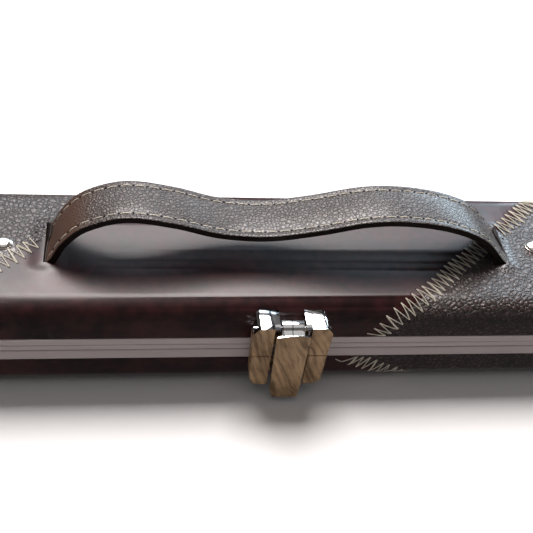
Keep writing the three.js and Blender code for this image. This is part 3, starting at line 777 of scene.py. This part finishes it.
def raise_leather(obj):
    """Lifts the lid's leather beside the slits."""
    reach = SWELL_REACH + (SLIT_OUTER - SLIT_INNER) + SWELL_SPREAD
    for end in (-1, 1):
        first = HANDLE_MIDDLE + end * (SLIT_INNER - SWELL_SPREAD)
        score_lines(obj, [first + end * reach * i / 16 for i in range(17)], (1, 0, 0))
    spread = SLIT_HALF_WIDTH + SWELL_SPREAD
    score_lines(obj, [MIDDLE + spread * i / 12 for i in range(-12, 13)], (0, 1, 0))
    points = mesh_points(obj)
    on_top = points[:, 2] > LID_TOP - 0.01 * MM
    points[:, 2] += np.where(on_top, swell(points[:, 0], points[:, 1]), 0)
    move_points(obj, points)


def trim_at_seam(obj, half, seam, gap, keep_right):
    """Cuts a shell at a seam and keeps one side of it."""
    point, normal = half.seam_plane(seam)
    shift = Vector((gap, 0, 0))
    edit_all(obj)
    bpy.ops.mesh.bisect(
        plane_co=point + shift, plane_no=normal, clear_inner=keep_right, clear_outer=not keep_right
    )
    close_edit()


def cut_slits(obj):
    """Opens the two slits through which the strap passes."""
    for end in (-1, 1):
        x = sorted(HANDLE_MIDDLE + end * reach for reach in (SLIT_INNER, SLIT_OUTER))
        low = (x[0], MIDDLE - SLIT_HALF_WIDTH, LID_TOP - 5 * MM)
        high = (x[1], MIDDLE + SLIT_HALF_WIDTH, LID_TOP + 5 * MM)
        cutter = block("slit", low, high)
        modify(obj, "BOOLEAN", operation="DIFFERENCE", solver="EXACT", object=cutter)
        bpy.data.objects.remove(cutter)


def cover_half(half, sizes):
    """The three pieces of leather of one half."""
    cuts = {
        "left": [(sizes.seam_left, -sizes.seam_gap, False)],
        "centre": [(sizes.seam_left, 0, True), (sizes.seam_right, -sizes.seam_gap, False)],
        "right": [(sizes.seam_right, 0, True)],
    }
    shell = tray_shell(half)
    if half.name == "lid":
        raise_leather(shell)
    for part, trims in cuts.items():
        piece = copy_of(shell, f"{half.name}_cover_{part}")
        for seam, gap, keep_right in trims:
            trim_at_seam(piece, half, seam, gap, keep_right)
        modify(piece, "SOLIDIFY", thickness=sizes.leather, offset=-1, use_even_offset=True)
        if half.name == "lid":
            cut_slits(piece)
        turned = {"limit_method": "ANGLE", "angle_limit": math.radians(50)}
        modify(piece, "BEVEL", width=sizes.leather_turn, segments=3, **turned)
        right_way_out(piece)
        smooth(piece)
        slot = "oxblood_leather" if part == "centre" else "pebbled_leather"
        paint(piece, slot)
        settle(piece, half.name, [f"{half.name}_leather_{part}"])
    bpy.data.objects.remove(shell)


class CUECASE_OT_cover_trays(bpy.types.Operator):
    """Cover both trays with smooth leather in the middle and grained leather at the ends"""

    bl_idname = "cue_case.cover_trays"
    bl_label = "Cover the Trays"

    def execute(self, context):
        sizes = context.scene.cue_case_sizes
        for half in halves(sizes):
            cover_half(half, sizes)
        return {"FINISHED"}


# Sewing over the seams

HOLE_SINK = 0.2 * MM
TIP_WANDER = 0.5 * MM
DOUBLE_SHIFT = (0.7 * MM, 0.5 * MM)
LEG_SHARES = (0, 0.05, 0.3, 0.7, 0.95, 1)
LEG_RISES = (-0.5, 0.55, 1, 1, 0.55, -0.5)
OVERRUN = 4 * MM
EDGE_ROOM = 0.5 * MM
SLIT_ROOM = 0.1 * MM
DOUBLED = 0.25


def seam_tips(half, seam, sizes, chance):
    """The tips of a zigzag, left and right of a seam in turn, on the leather laid flat."""
    along = np.linspace(-OVERRUN, half.length + OVERRUN, 700)
    line = np.stack([half.seam_x(seam, along), along], axis=1)
    walked = np.concatenate([[0], np.cumsum(np.linalg.norm(np.diff(line, axis=0), axis=1))])
    tips = []
    distance = sizes.zigzag_pitch / 2
    side = 1
    while distance < walked[-1] - sizes.zigzag_pitch / 4:
        point = np.array([np.interp(distance, walked, line[:, k]) for k in (0, 1)])
        ahead = np.array([np.interp(distance + MM, walked, line[:, k]) for k in (0, 1)])
        step = (ahead - point) / np.linalg.norm(ahead - point)
        across = np.array([step[1], -step[0]])
        reach = sizes.zigzag_width / 2 + chance.uniform(-TIP_WANDER, TIP_WANDER)
        tip = point + across * side * reach
        if -OVERRUN < tip[1] < half.length + OVERRUN:
            tip[1] = min(max(tip[1], EDGE_ROOM), half.length - EDGE_ROOM)
            tips.append(tip)
        distance += sizes.zigzag_pitch / 2 * chance.uniform(0.8, 1.2)
        side = -side
    return tips


def add_leg(curve, start, end, lift):
    """One stitch as a spline that rises from a hole and dives into the next."""
    spline = curve.splines.new("POLY")
    spline.points.add(len(LEG_RISES) - 1)
    for point, rise, share in zip(spline.points, LEG_RISES, LEG_SHARES):
        x, along = start + (end - start) * share
        point.co = (x, along, lift * rise, 1)


def leg_is_clear(half, start, end):
    """Whether a stitch keeps off the slits."""
    if half.name == "base":
        return True
    for share in np.linspace(0, 1, 7):
        x, along = start + (end - start) * share
        if in_slit(x, half.skin(along)[0], SLIT_ROOM):
            return False
    return True


def sew(name, half, tips, sizes, chance):
    """A zigzag thread through the tips, doubled on some of its legs."""
    obj = added(bpy.ops.curve.primitive_nurbs_path_add, name)
    curve = obj.data
    curve.splines.clear()
    curve.bevel_depth = sizes.thread
    curve.bevel_resolution = 1
    curve.use_fill_caps = True
    for start, end in zip(tips, tips[1:]):
        if not leg_is_clear(half, start, end):
            continue
        add_leg(curve, start, end, sizes.thread * 1.1)
        if chance.random() < DOUBLED:
            nudge = np.array([chance.uniform(-shift, shift) for shift in DOUBLE_SHIFT])
            add_leg(curve, start + nudge, end + nudge * 0.3, sizes.thread * 1.9)
    bpy.ops.object.convert(target="MESH")
    half.lay(obj)
    smooth(obj, 60)
    return obj


def awl_holes(name, half, tips, sizes):
    """A small disc of painted shade at each tip, standing for the awl hole, modelled once and copied."""
    disc = {"vertices": 10, "radius": sizes.awl_hole, "depth": 0.5 * MM}
    first = added(bpy.ops.mesh.primitive_cylinder_add, "hole", **disc)
    holes = []
    for tip in tips:
        if half.name == "lid" and in_slit(tip[0], half.skin(tip[1])[0], SLIT_ROOM):
            continue
        hole = copy_of(first, "hole")
        hole.location = (*tip, -HOLE_SINK)
        holes.append(hole)
    bpy.data.objects.remove(first)
    obj = join(holes, name)
    half.lay(obj)
    return obj


class CUECASE_OT_sew_seams(bpy.types.Operator):
    """Sew a zigzag of thread over each diagonal seam"""

    bl_idname = "cue_case.sew_seams"
    bl_label = "Sew the Seams"

    def execute(self, context):
        sizes = context.scene.cue_case_sizes
        chance = random.Random(7)
        for half in halves(sizes):
            for side, seam in zip(SIDES, (sizes.seam_left, sizes.seam_right)):
                tips = seam_tips(half, seam, sizes, chance)
                thread = sew(f"{half.name}_thread_{side}", half, tips, sizes, chance)
                paint(thread, "thread")
                settle(thread, half.name)
                holes = awl_holes(f"{half.name}_holes_{side}", half, tips, sizes)
                paint(holes, "awl_hole")
                settle(holes, half.name)
        return {"FINISHED"}


# Handle strap

STRAP_RISE = 27.2 * MM
SLIT_X = 110.4 * MM
TAIL = 34 * MM
TAIL_DROP = 3.5 * MM
STRAP_MARGIN = 0.5 * MM
GROOVE_DEPTH = 0.28 * MM
GROOVE_WIDTH = 0.9 * MM
CROWN_RISE = 0.3 * MM
STITCH_SINK = 0.12 * MM
STRAP_WAVE = (
    (-0.995, 0),
    (-0.935, 0.42),
    (-0.841, 0.783),
    (-0.678, 0.993),
    (-0.479, 0.879),
    (-0.289, 0.66),
    (-0.081, 0.599),
    (0.132, 0.739),
    (0.344, 0.945),
    (0.522, 0.974),
    (0.716, 0.849),
    (0.883, 0.559),
    (1.005, 0.048),
)
TAIL_BENDS = (1, 0.45, 0.25)


class StrapLine:
    """The strap's middle line, as seen from the front."""

    def __init__(self):
        wave = [(share * SLIT_X, height * STRAP_RISE) for share, height in STRAP_WAVE]
        left = [(-SLIT_X - TAIL * share, -TAIL_DROP) for share in TAIL_BENDS]
        right = [(SLIT_X + TAIL * share, -TAIL_DROP) for share in reversed(TAIL_BENDS)]
        points = np.array(left + wave + right)
        padded = np.concatenate([points[:1], points, points[-1:]])
        spots = []
        for a, b, c, d in zip(padded, padded[1:], padded[2:], padded[3:]):
            for t in np.linspace(0, 1, 40, endpoint=False):
                spots.append(self.between(a, b, c, d, t))
        spots.append(points[-1])
        self.spots = np.array(spots)
        self.walked = np.concatenate([[0], np.cumsum(np.linalg.norm(np.diff(self.spots, axis=0), axis=1))])
        self.length = self.walked[-1]

    @staticmethod
    def between(a, b, c, d, t):
        """A point on the smooth line from b to c."""
        bend = (c - a) / 2
        end = (d - b) / 2
        rise = (2 * b - 2 * c + bend + end) * t**3
        return rise + (-3 * b + 3 * c - 2 * bend - end) * t**2 + bend * t + b

    def at(self, distance):
        return np.stack([np.interp(distance, self.walked, self.spots[:, k]) for k in (0, 1)], axis=-1)

    def where(self, height, first):
        """How far along the line it first or last passes a height."""
        above = np.nonzero(self.spots[:, 1] > height)[0]
        return self.walked[above[0] if first else above[-1]]

    def bend(self, obj):
        """Bends a piece modelled straight, as distance, width and height, along the line."""
        straight = mesh_points(obj)
        distance = straight[:, 0]
        spot = self.at(distance)
        step = self.at(distance + 0.3 * MM) - self.at(distance - 0.3 * MM)
        step = step / np.linalg.norm(step, axis=1)[:, None]
        x = HANDLE_MIDDLE + spot[:, 0] - step[:, 1] * straight[:, 2]
        z = LID_TOP + spot[:, 1] + step[:, 0] * straight[:, 2]
        move_points(obj, np.stack([x, MIDDLE + straight[:, 1], z], axis=1))


def flat_map(obj):
    """Fills the UV map with the straight piece's length and width in metres."""
    uv = obj.data.uv_layers[0].data
    points = mesh_points(obj)
    for loop in obj.data.loops:
        uv[loop.index].uv = points[loop.vertex_index][:2]


def form_strap(sizes):
    """The strap, modelled straight with rounded edges and a low crown, and then bent."""
    line = StrapLine()
    half = STRAP_WIDTH / 2
    thick = sizes.strap_thickness / 2
    low = (STRAP_MARGIN, -half, -thick)
    obj = block("carry_strap", low, (line.length - STRAP_MARGIN, half, thick))
    edit(obj)
    select_edges(obj, lambda a, b: abs(a.x - b.x) > 10 * MM)
    bpy.ops.mesh.bevel(offset=sizes.strap_edge, segments=4, affect="EDGES")
    select_edges(obj, lambda a, b: abs(a.x - b.x) > 10 * MM)
    bpy.ops.mesh.subdivide(number_cuts=180)
    select_edges(obj, lambda a, b: abs(a.y - b.y) > 10 * MM)
    bpy.ops.mesh.subdivide(number_cuts=22)
    close_edit()
    points = mesh_points(obj)
    row = half - sizes.stitch_row
    width = np.abs(points[:, 1])
    side = np.sign(points[:, 2])
    groove = GROOVE_DEPTH * np.exp(-(((width - row) / GROOVE_WIDTH) ** 2))
    crown = CROWN_RISE * np.clip(1 - (width / row) ** 2, 0, 1)
    flat = np.abs(points[:, 2]) > thick - 0.01 * MM
    points[:, 2] += np.where(flat, side * (crown - groove), 0)
    move_points(obj, points)
    flat_map(obj)
    line.bend(obj)
    smooth(obj, 60)
    paint(obj, "strap_leather", "burnished_edge")
    # The edges take the dark edge finish; the downward faces take it too, as painted shade on the underside.
    for face in obj.data.polygons:
        if abs(face.normal.y) > 0.75 or face.normal.z < -0.2:
            face.material_index = 1
    return obj


class CUECASE_OT_form_strap(bpy.types.Operator):
    """Form the wave-shaped leather strap"""

    bl_idname = "cue_case.form_strap"
    bl_label = "Form the Strap"

    def execute(self, context):
        strap = form_strap(context.scene.cue_case_sizes)
        settle(strap, "lid", ["handle_strap"])
        return {"FINISHED"}


LIP_FLOOR = -0.8 * MM
LIP_LOW = 0.7 * MM
LIP_RISE = 3.2 * MM
LIP_PEAK = 0.55
LIP_FRONT_SPREAD = 0.62
LIP_BACK_SPREAD = 0.28
LIP_RIPPLES = ((0.22 * MM, 9, 0), (0.14 * MM, 23, 1))
LIP_ROOM = 0.25 * MM
LIP_OVERLAP = 0.3 * MM
LEAN_LOW = 0.2 * MM
LEAN_HIGH = 6 * MM


def slit_lip(name, end, sizes):
    """The edge of a slit, pushed up against the strap and highest towards the back."""
    line = StrapLine()
    obj = added(bpy.ops.mesh.primitive_grid_add, name, x_subdivisions=36, y_subdivisions=8, size=1)
    share = mesh_points(obj)[:, :2] * (2, 1) + (0, 0.5)
    across = share[:, 0]
    spread = np.where(across > LIP_PEAK, LIP_BACK_SPREAD, LIP_FRONT_SPREAD)
    hump = np.exp(-(((across - LIP_PEAK) / spread) ** 2))
    ragged = sum(rise * np.sin(across * turns + end * shift) for rise, turns, shift in LIP_RIPPLES)
    peak = LIP_LOW + (LIP_RISE + ragged) * hump
    height = LIP_FLOOR + (peak - LIP_FLOOR) * share[:, 1]
    foot = line.where(LEAN_LOW, end < 0)
    crest = line.where(LEAN_HIGH, end < 0)
    low, high = line.at(foot), line.at(crest)
    lean = (high[0] - low[0]) / (high[1] - low[1])
    reach = (sizes.strap_thickness / 2 + LIP_ROOM) * math.hypot(1, lean)
    x = HANDLE_MIDDLE + low[0] + end * reach + lean * height
    y = MIDDLE + across * (SLIT_HALF_WIDTH + LIP_OVERLAP)
    move_points(obj, np.stack([x, y, LID_TOP + height], axis=1))
    modify(obj, "SOLIDIFY", thickness=sizes.lip_thickness, offset=end)
    modify(obj, "BEVEL", width=sizes.lip_thickness * 0.35, segments=2, limit_method="ANGLE")
    right_way_out(obj)
    smooth(obj, 50)
    return obj


class CUECASE_OT_raise_lips(bpy.types.Operator):
    """Push up the edges of the slits against the strap"""

    bl_idname = "cue_case.raise_lips"
    bl_label = "Raise the Slit Lips"

    def execute(self, context):
        for side, end in (("left", -1), ("right", 1)):
            lip = slit_lip(f"slit_lip_{side}", end, context.scene.cue_case_sizes)
            # The lips take the near-black edge finish as painted shade in the slits.
            paint(lip, "burnished_edge")
            settle(lip, "lid")
        return {"FINISHED"}


def saddle_stitch(sizes):
    """One saddle stitch, a thin bar that dives at both ends."""
    bar = {"vertices": 8, "radius": sizes.stitch_radius, "depth": sizes.stitch_length}
    obj = added(bpy.ops.mesh.primitive_cylinder_add, "stitch", rotation=(0, math.pi / 2, 0), **bar)
    hold_place(obj)
    edit(obj)
    select_edges(obj, lambda a, b: abs(a.x - b.x) > MM)
    bpy.ops.mesh.subdivide(number_cuts=5)
    close_edit()
    points = mesh_points(obj)
    share = points[:, 0] / (sizes.stitch_length / 2)
    points[:, 2] -= 1.1 * sizes.stitch_radius * share**4
    move_points(obj, points)
    return obj


class CUECASE_OT_sew_strap(bpy.types.Operator):
    """Sew two rows of saddle stitches along each face of the strap"""

    bl_idname = "cue_case.sew_strap"
    bl_label = "Sew the Strap"

    def execute(self, context):
        sizes = context.scene.cue_case_sizes
        line = StrapLine()
        start = line.where(-0.5 * MM, True)
        end = line.where(-0.5 * MM, False)
        count = int((end - start) / sizes.stitch_pitch)
        row = STRAP_WIDTH / 2 - sizes.stitch_row
        surface = sizes.strap_thickness / 2
        first = saddle_stitch(sizes)
        # small dark discs of painted shade stand for the stitch holes
        disc = {"vertices": 8, "radius": 0.5 * MM, "depth": 0.3 * MM}
        hole = added(bpy.ops.mesh.primitive_cylinder_add, "dot", **disc)
        stitches = []
        holes = []
        for face, side, i in itertools.product((1, -1), (-1, 1), range(count)):
            x = start + (i + 0.5) * sizes.stitch_pitch
            stitch = copy_of(first, "stitch")
            stitch.location = (x, side * row, face * (surface - STITCH_SINK))
            stitch.rotation_euler.x = 0 if face > 0 else math.pi
            stitches.append(stitch)
            dot = copy_of(hole, "dot")
            dot.location = (x + sizes.stitch_pitch / 2, side * row, face * (surface - HOLE_SINK))
            holes.append(dot)
        bpy.data.objects.remove(first)
        bpy.data.objects.remove(hole)
        rows = {"strap_stitches": (stitches, "thread"), "strap_holes": (holes, "awl_hole")}
        for name, (pieces, finish) in rows.items():
            obj = join(pieces, name)
            line.bend(obj)
            smooth(obj, 60)
            paint(obj, finish)
            settle(obj, "lid")
        return {"FINISHED"}


# Rivets

DOME_SHARE = 0.97
RIM_SHARE = 0.18
RIM_FLARE = 1.05
RIM_DEPTH = 0.3
RIVET_SEAT = 0.2 * MM


def domed_rivet(name, middle, radius, height):
    """A domed head with a thin flange, on the top of the lid."""
    obj = added(bpy.ops.mesh.primitive_uv_sphere_add, name, segments=40, ring_count=24, radius=1)
    obj.scale = (radius * DOME_SHARE, radius * DOME_SHARE, height)
    hold_place(obj)
    edit_all(obj)
    bpy.ops.mesh.bisect(plane_co=(0, 0, height * RIM_SHARE), plane_no=(0, 0, 1), clear_inner=True)
    bpy.ops.mesh.extrude_edges_move()
    bpy.ops.transform.resize(value=(RIM_FLARE, RIM_FLARE, 1), center_override=(0, 0, 0))
    bpy.ops.mesh.extrude_edges_move(TRANSFORM_OT_translate={"value": (0, 0, -height * RIM_DEPTH)})
    bpy.ops.mesh.fill_holes(sides=0)
    close_edit()
    obj.location = middle
    hold_place(obj)
    modify(obj, "BEVEL", width=0.15 * MM, segments=2, limit_method="ANGLE", angle_limit=math.radians(50))
    right_way_out(obj)
    smooth(obj, 50)
    return obj


class CUECASE_OT_set_rivets(bpy.types.Operator):
    """Set a domed rivet beside each end of the strap"""

    bl_idname = "cue_case.set_rivets"
    bl_label = "Set the Rivets"

    def execute(self, context):
        for side in SIDES:
            node = f"handle_rivet_{side}"
            low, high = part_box(node)
            seat = LID_TOP + RIVET_SEAT
            middle = ((low.x + high.x) / 2, (low.y + high.y) / 2, seat)
            rivet = domed_rivet(f"domed_rivet_{side}", middle, (high.x - low.x) / 2, high.z - seat)
            paint(rivet, "polished_nickel")
            settle(rivet, "lid", [node])
            paint(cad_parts[f"handle_washer_{side}"], "polished_nickel")
        return {"FINISHED"}


# Valance


def valance_section(half_name):
    """The section of one half's valance as (out, up) points from the split, in metres."""
    if half_name == "lid":
        face = [(-0.35, 0.15), (0, 0.6), (0, 3.4), (-0.28, 3.5), (-0.28, 3.85), (0, 3.95), (0, 6.5)]
        face += [(0.18, 6.75), (0.25, 7.2), (0.22, 7.6), (0.05, 7.95), (-0.2, 8), (-1.4, 8)]
    else:
        face = [(-0.35, 0.15), (0, 0.6), (0, 5.7), (-0.1, 5.9), (-0.3, 6), (-1.4, 6)]
    inside = [(-1.4, 1.65), (-7.6, 1.65), (-7.6, 5.65), (-8.8, 5.65), (-8.8, 0.15)]
    up = 1 if half_name == "lid" else -1
    return [(out * MM, up * height * MM) for out, height in face + inside]


def valance_paths():
    """The stations of the front bar, the back bar and the two ends."""
    bar = RIGHT_END - PLAN_RADIUS
    gap = 0.3 * MM
    front = Vector((0, -1, 0))
    back = Vector((0, 1, 0))
    paths = {
        "front": [(Vector((x, FRONT, SPLIT)), front) for x in (-bar, bar)],
        "back": [(Vector((x, BACK, SPLIT)), back) for x in (-bar, bar)],
    }
    for side, sign, start in (("left", -1, 180), ("right", 1, 0)):
        x = sign * bar
        low = arc((x, FRONT + PLAN_RADIUS, SPLIT), PLAN_RADIUS, 270, 270 + sign * 90, CORNER_STEPS)
        high = arc((x, BACK - PLAN_RADIUS, SPLIT), PLAN_RADIUS, 90 - sign * 90, 90, CORNER_STEPS)
        shift = Vector((sign * gap, 0, 0))
        ends = [(Vector((x, FRONT, SPLIT)) + shift, front), (Vector((x, BACK, SPLIT)) + shift, back)]
        paths[side] = [ends[0]] + low[1:] + high[:-1] + [ends[1]]
    return paths


class CUECASE_OT_fit_valance(bpy.types.Operator):
    """Fit the satin aluminium valance round both trays"""

    bl_idname = "cue_case.fit_valance"
    bl_label = "Fit the Valance"

    def execute(self, context):
        for half_name in ("lid", "base"):
            for place, stations in valance_paths().items():
                bar = swept(f"{half_name}_profile_{place}", stations, valance_section(half_name))
                smooth(bar, 30)
                paint(bar, "satin_aluminium")
                settle(bar, half_name, [f"{half_name}_valance_{place}"])
        return {"FINISHED"}


# Metal made from the frame's own pieces


def refined(node, name, round_edge, segments=2, angle=28):
    """A copy of a frame node with its flat faces joined and its edges rounded."""
    obj = copy_of(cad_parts[node], name)
    edit_all(obj)
    bpy.ops.mesh.remove_doubles(threshold=0.000005)
    bpy.ops.mesh.dissolve_limited(angle_limit=math.radians(1))
    close_edit()
    limits = {"limit_method": "ANGLE", "angle_limit": math.radians(angle), "use_clamp_overlap": True}
    modify(obj, "BEVEL", width=round_edge, segments=segments, **limits)
    smooth(obj, 32)
    return obj


LATCH_EDGE = 0.4 * MM
PIN_EDGE = 0.25 * MM
LATCH_DIVISION = 5.7 * MM
DIVISION_ROOM = 0.7 * MM
EAR_FOOT = 17 * MM
FRONT_DEPTH = 8 * MM
HINGE_EDGE = 0.2 * MM
LEAF_THICKNESS = 1.2 * MM
SCREW_RADIUS = 2.1 * MM
SCREW_INSET = 3.4 * MM
SCREW_SHARES = (0.16, 0.5, 0.84)


def paint_reflection_and_shade(obj):
    """Gives the front of a latch piece the painted reflection of a wooden floor, and its lower sides and
    dividing groove the same dark finish as painted shade.
    """
    for face in obj.data.polygons:
        low_down = face.center.z < SPLIT + EAR_FOOT
        in_front = face.center.y < FRONT - FRONT_DEPTH
        curled = in_front and face.normal.y < -0.3 and face.center.z < SPLIT
        facing = face.normal.y < -0.8 and (in_front or low_down)
        between = abs(face.center.z - SPLIT - LATCH_DIVISION) < DIVISION_ROOM
        side = low_down and abs(face.normal.x) > 0.5
        if curled or facing or between or side:
            face.material_index = 1


class CUECASE_OT_fit_latches(bpy.types.Operator):
    """Fit the three lever latches"""

    bl_idname = "cue_case.fit_latches"
    bl_label = "Fit the Latches"

    def execute(self, context):
        for side in LATCHES:
            bodies = {"bracket": "lid", "lever": f"lever_{side}", "pin": "lid", "keeper": "base"}
            for part, body in bodies.items():
                node = f"latch_{side}_{part}"
                piece = refined(node, f"{side}_catch_{part}", PIN_EDGE if part == "pin" else LATCH_EDGE, 3)
                if part == "pin":
                    paint(piece, "chrome")
                else:
                    paint(piece, "chrome", "figured_plate")
                    paint_reflection_and_shade(piece)
                settle(piece, body, [node])
        return {"FINISHED"}


def screw_heads(name, spots, radius):
    """Low round screw heads with a cross slot, facing the back."""
    heads = []
    ball = {"segments": 20, "ring_count": 12, "radius": radius, "rotation": (math.pi / 2, 0, 0)}
    for spot in spots:
        head = added(bpy.ops.mesh.primitive_uv_sphere_add, "head", **ball)
        hold_place(head)
        head.scale = (1, 0.35, 1)
        head.location = spot
        heads.append(head)
    obj = join(heads, name)
    slots = []
    for spot in spots:
        for reach in ((0.62, 0.13), (0.13, 0.62)):
            half = Vector((reach[0] * radius, 0.4 * MM, reach[1] * radius))
            crown = Vector(spot) + Vector((0, radius * 0.35, 0))
            slots.append(block("slot", crown - half, crown + half))
    cutter = join(slots, "slots")
    modify(obj, "BOOLEAN", operation="DIFFERENCE", solver="EXACT", object=cutter, use_self=True)
    bpy.data.objects.remove(cutter)
    smooth(obj, 40)
    return obj


class CUECASE_OT_fit_hinges(bpy.types.Operator):
    """Fit the three back hinges with their screws"""

    bl_idname = "cue_case.fit_hinges"
    bl_label = "Fit the Hinges"

    def execute(self, context):
        for side in LATCHES:
            for part, body in (("lid_leaf", "lid"), ("base_leaf", "base"), ("pin", "base")):
                node = f"hinge_{side}_{part}"
                piece = refined(node, f"{side}_hinge_{part}", HINGE_EDGE)
                paint(piece, "chrome")
                settle(piece, body, [node])
                if part == "pin":
                    continue
                low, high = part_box(node)
                z = high.z - SCREW_INSET if body == "lid" else low.z + SCREW_INSET
                face = low.y + LEAF_THICKNESS
                spots = [(low.x + share * (high.x - low.x), face, z) for share in SCREW_SHARES]
                screws = screw_heads(f"{side}_screws_{body}", spots, SCREW_RADIUS)
                paint(screws, "polished_nickel")
                settle(screws, body)
        return {"FINISHED"}


# Lining, wood and feet


class CUECASE_OT_line_trays(bpy.types.Operator):
    """Line the trays with velvet-covered foam"""

    bl_idname = "cue_case.line_trays"
    bl_label = "Line the Trays"

    def execute(self, context):
        for name in ("lid", "base"):
            lining = refined(f"{name}_liner", f"{name}_lining", 0.8 * MM, 3, 35)
            paint(lining, "velvet")
            settle(lining, name, [f"{name}_liner"])
        return {"FINISHED"}


class CUECASE_OT_finish_wood(bpy.types.Operator):
    """Give the wooden trays their plywood"""

    bl_idname = "cue_case.finish_wood"
    bl_label = "Finish the Wood"

    def execute(self, context):
        for name in ("lid", "base"):
            for part in ("panel", "rail_front", "rail_back", "end_left", "end_right"):
                paint(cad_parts[f"{name}_{part}"], "birch_plywood")
        return {"FINISHED"}


class CUECASE_OT_fit_feet(bpy.types.Operator):
    """Fit the four rubber feet"""

    bl_idname = "cue_case.fit_feet"
    bl_label = "Fit the Feet"

    def execute(self, context):
        for place in ("front_left", "front_right", "back_left", "back_right"):
            low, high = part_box(f"foot_{place}")
            disc = {"vertices": 40, "radius": (high.x - low.x) / 2, "depth": high.z - low.z}
            cylinder = bpy.ops.mesh.primitive_cylinder_add
            foot = added(cylinder, f"rubber_foot_{place}", location=(low + high) / 2, **disc)
            hold_place(foot)
            edit(foot)
            select_edges(foot, lambda a, b: max(a.z, b.z) < low.z + 0.1 * MM)
            bpy.ops.mesh.bevel(offset=1.8 * MM, segments=6, affect="EDGES")
            close_edit()
            smooth(foot, 40)
            paint(foot, "foot_rubber")
            settle(foot, "base", [f"foot_{place}"])
        return {"FINISHED"}


# Stage

CAMERA_PLACE = (-0.0742, -0.3147, 0.3526)
CAMERA_HEADING = 12.03
CAMERA_DIP = 44.0
CAMERA_ROLL = 8.63
CAMERA_LENS = 60.79


def area_light(name, place, aim, width, depth, power, tint):
    """A soft rectangular light turned towards a point."""
    light = added(bpy.ops.object.light_add, name, type="AREA", location=place)
    light.data.shape = "RECTANGLE"
    light.data.size = width
    light.data.size_y = depth
    light.data.energy = power
    light.data.color = tint
    light.rotation_euler = (Vector(aim) - Vector(place)).to_track_quat("-Z", "Y").to_euler()


def set_camera():
    """The camera, turned right by its heading, down by its dip and then about its own line of sight."""
    turned = Matrix.Translation(CAMERA_PLACE)
    for degrees, axis in ((-CAMERA_HEADING, "Z"), (90 - CAMERA_DIP, "X"), (CAMERA_ROLL, "Z")):
        turned = turned @ Matrix.Rotation(math.radians(degrees), 4, axis)
    camera = added(bpy.ops.object.camera_add, "camera")
    camera.matrix_world = turned
    camera.data.lens = CAMERA_LENS
    camera.data.sensor_width = 36
    camera.data.clip_start = 0.01
    bpy.context.scene.camera = camera


class CUECASE_OT_set_stage(bpy.types.Operator):
    """Set the floor, the soft studio lights and the camera"""

    bl_idname = "cue_case.set_stage"
    bl_label = "Set the Stage"

    def execute(self, context):
        floor = added(bpy.ops.mesh.primitive_plane_add, "studio_floor", size=12)
        paint(floor, "stage_floor")
        floor.visible_glossy = False
        scene = context.scene
        world = bpy.data.worlds.new("studio")
        world.use_nodes = True
        background = world.node_tree.nodes["Background"]
        background.inputs["Color"].default_value = (1.0, 0.95, 0.95, 1)
        background.inputs["Strength"].default_value = 0.11
        scene.world = world
        area_light("window", (-0.06, 1.02, 1.88), (0, 0, 0.05), 1.3, 1.06, 80, (1.0, 0.955, 0.935))
        area_light("sky", (0.1, 2.1, 1.35), (0, 0, 0.05), 3.0, 0.8, 15, (0.70, 0.86, 1.0))
        area_light("side_window", (1.44, 1.55, 0.68), (0, 0, 0.08), 1.2, 0.64, 24, (0.66, 0.86, 1.0))
        area_light("overhead", (0, -0.5, 2.6), (0, 0, 0), 2.4, 2.0, 6, (1.0, 0.96, 0.94))
        scene.view_settings.view_transform = "Standard"
        set_camera()
        return {"FINISHED"}


class CUECASE_PT_panel(bpy.types.Panel):
    """Sidebar panel of the cue case"""

    bl_idname = "CUECASE_PT_panel"
    bl_label = "Cue Case"
    bl_space_type = "VIEW_3D"
    bl_region_type = "UI"
    bl_category = "Cue Case"

    def draw(self, context):
        column = self.layout.column(align=True)
        for operator in OPERATORS:
            column.operator(operator.bl_idname)
        for group in (context.scene.cue_case_sizes, context.scene.cue_case_colours):
            box = self.layout.box()
            for name in group.__annotations__:
                box.prop(group, name)


OPERATORS = (
    CUECASE_OT_cover_trays,
    CUECASE_OT_sew_seams,
    CUECASE_OT_form_strap,
    CUECASE_OT_raise_lips,
    CUECASE_OT_sew_strap,
    CUECASE_OT_set_rivets,
    CUECASE_OT_fit_valance,
    CUECASE_OT_fit_latches,
    CUECASE_OT_fit_hinges,
    CUECASE_OT_line_trays,
    CUECASE_OT_finish_wood,
    CUECASE_OT_fit_feet,
    CUECASE_OT_set_stage,
)
CLASSES = (CueCaseSizes, CueCaseColours, *OPERATORS, CUECASE_PT_panel)


def register():
    for item in CLASSES:
        bpy.utils.register_class(item)
    bpy.types.Scene.cue_case_sizes = bpy.props.PointerProperty(type=CueCaseSizes)
    bpy.types.Scene.cue_case_colours = bpy.props.PointerProperty(type=CueCaseColours)


def unregister():
    del bpy.types.Scene.cue_case_colours
    del bpy.types.Scene.cue_case_sizes
    for item in reversed(CLASSES):
        bpy.utils.unregister_class(item)


def main():
    register()
    bpy.ops.cue_case.cover_trays()
    bpy.ops.cue_case.sew_seams()
    bpy.ops.cue_case.form_strap()
    bpy.ops.cue_case.raise_lips()
    bpy.ops.cue_case.sew_strap()
    bpy.ops.cue_case.set_rivets()
    bpy.ops.cue_case.fit_valance()
    bpy.ops.cue_case.fit_latches()
    bpy.ops.cue_case.fit_hinges()
    bpy.ops.cue_case.line_trays()
    bpy.ops.cue_case.finish_wood()
    bpy.ops.cue_case.fit_feet()
    bpy.ops.cue_case.set_stage()


if __name__ == "__main__":
    main()
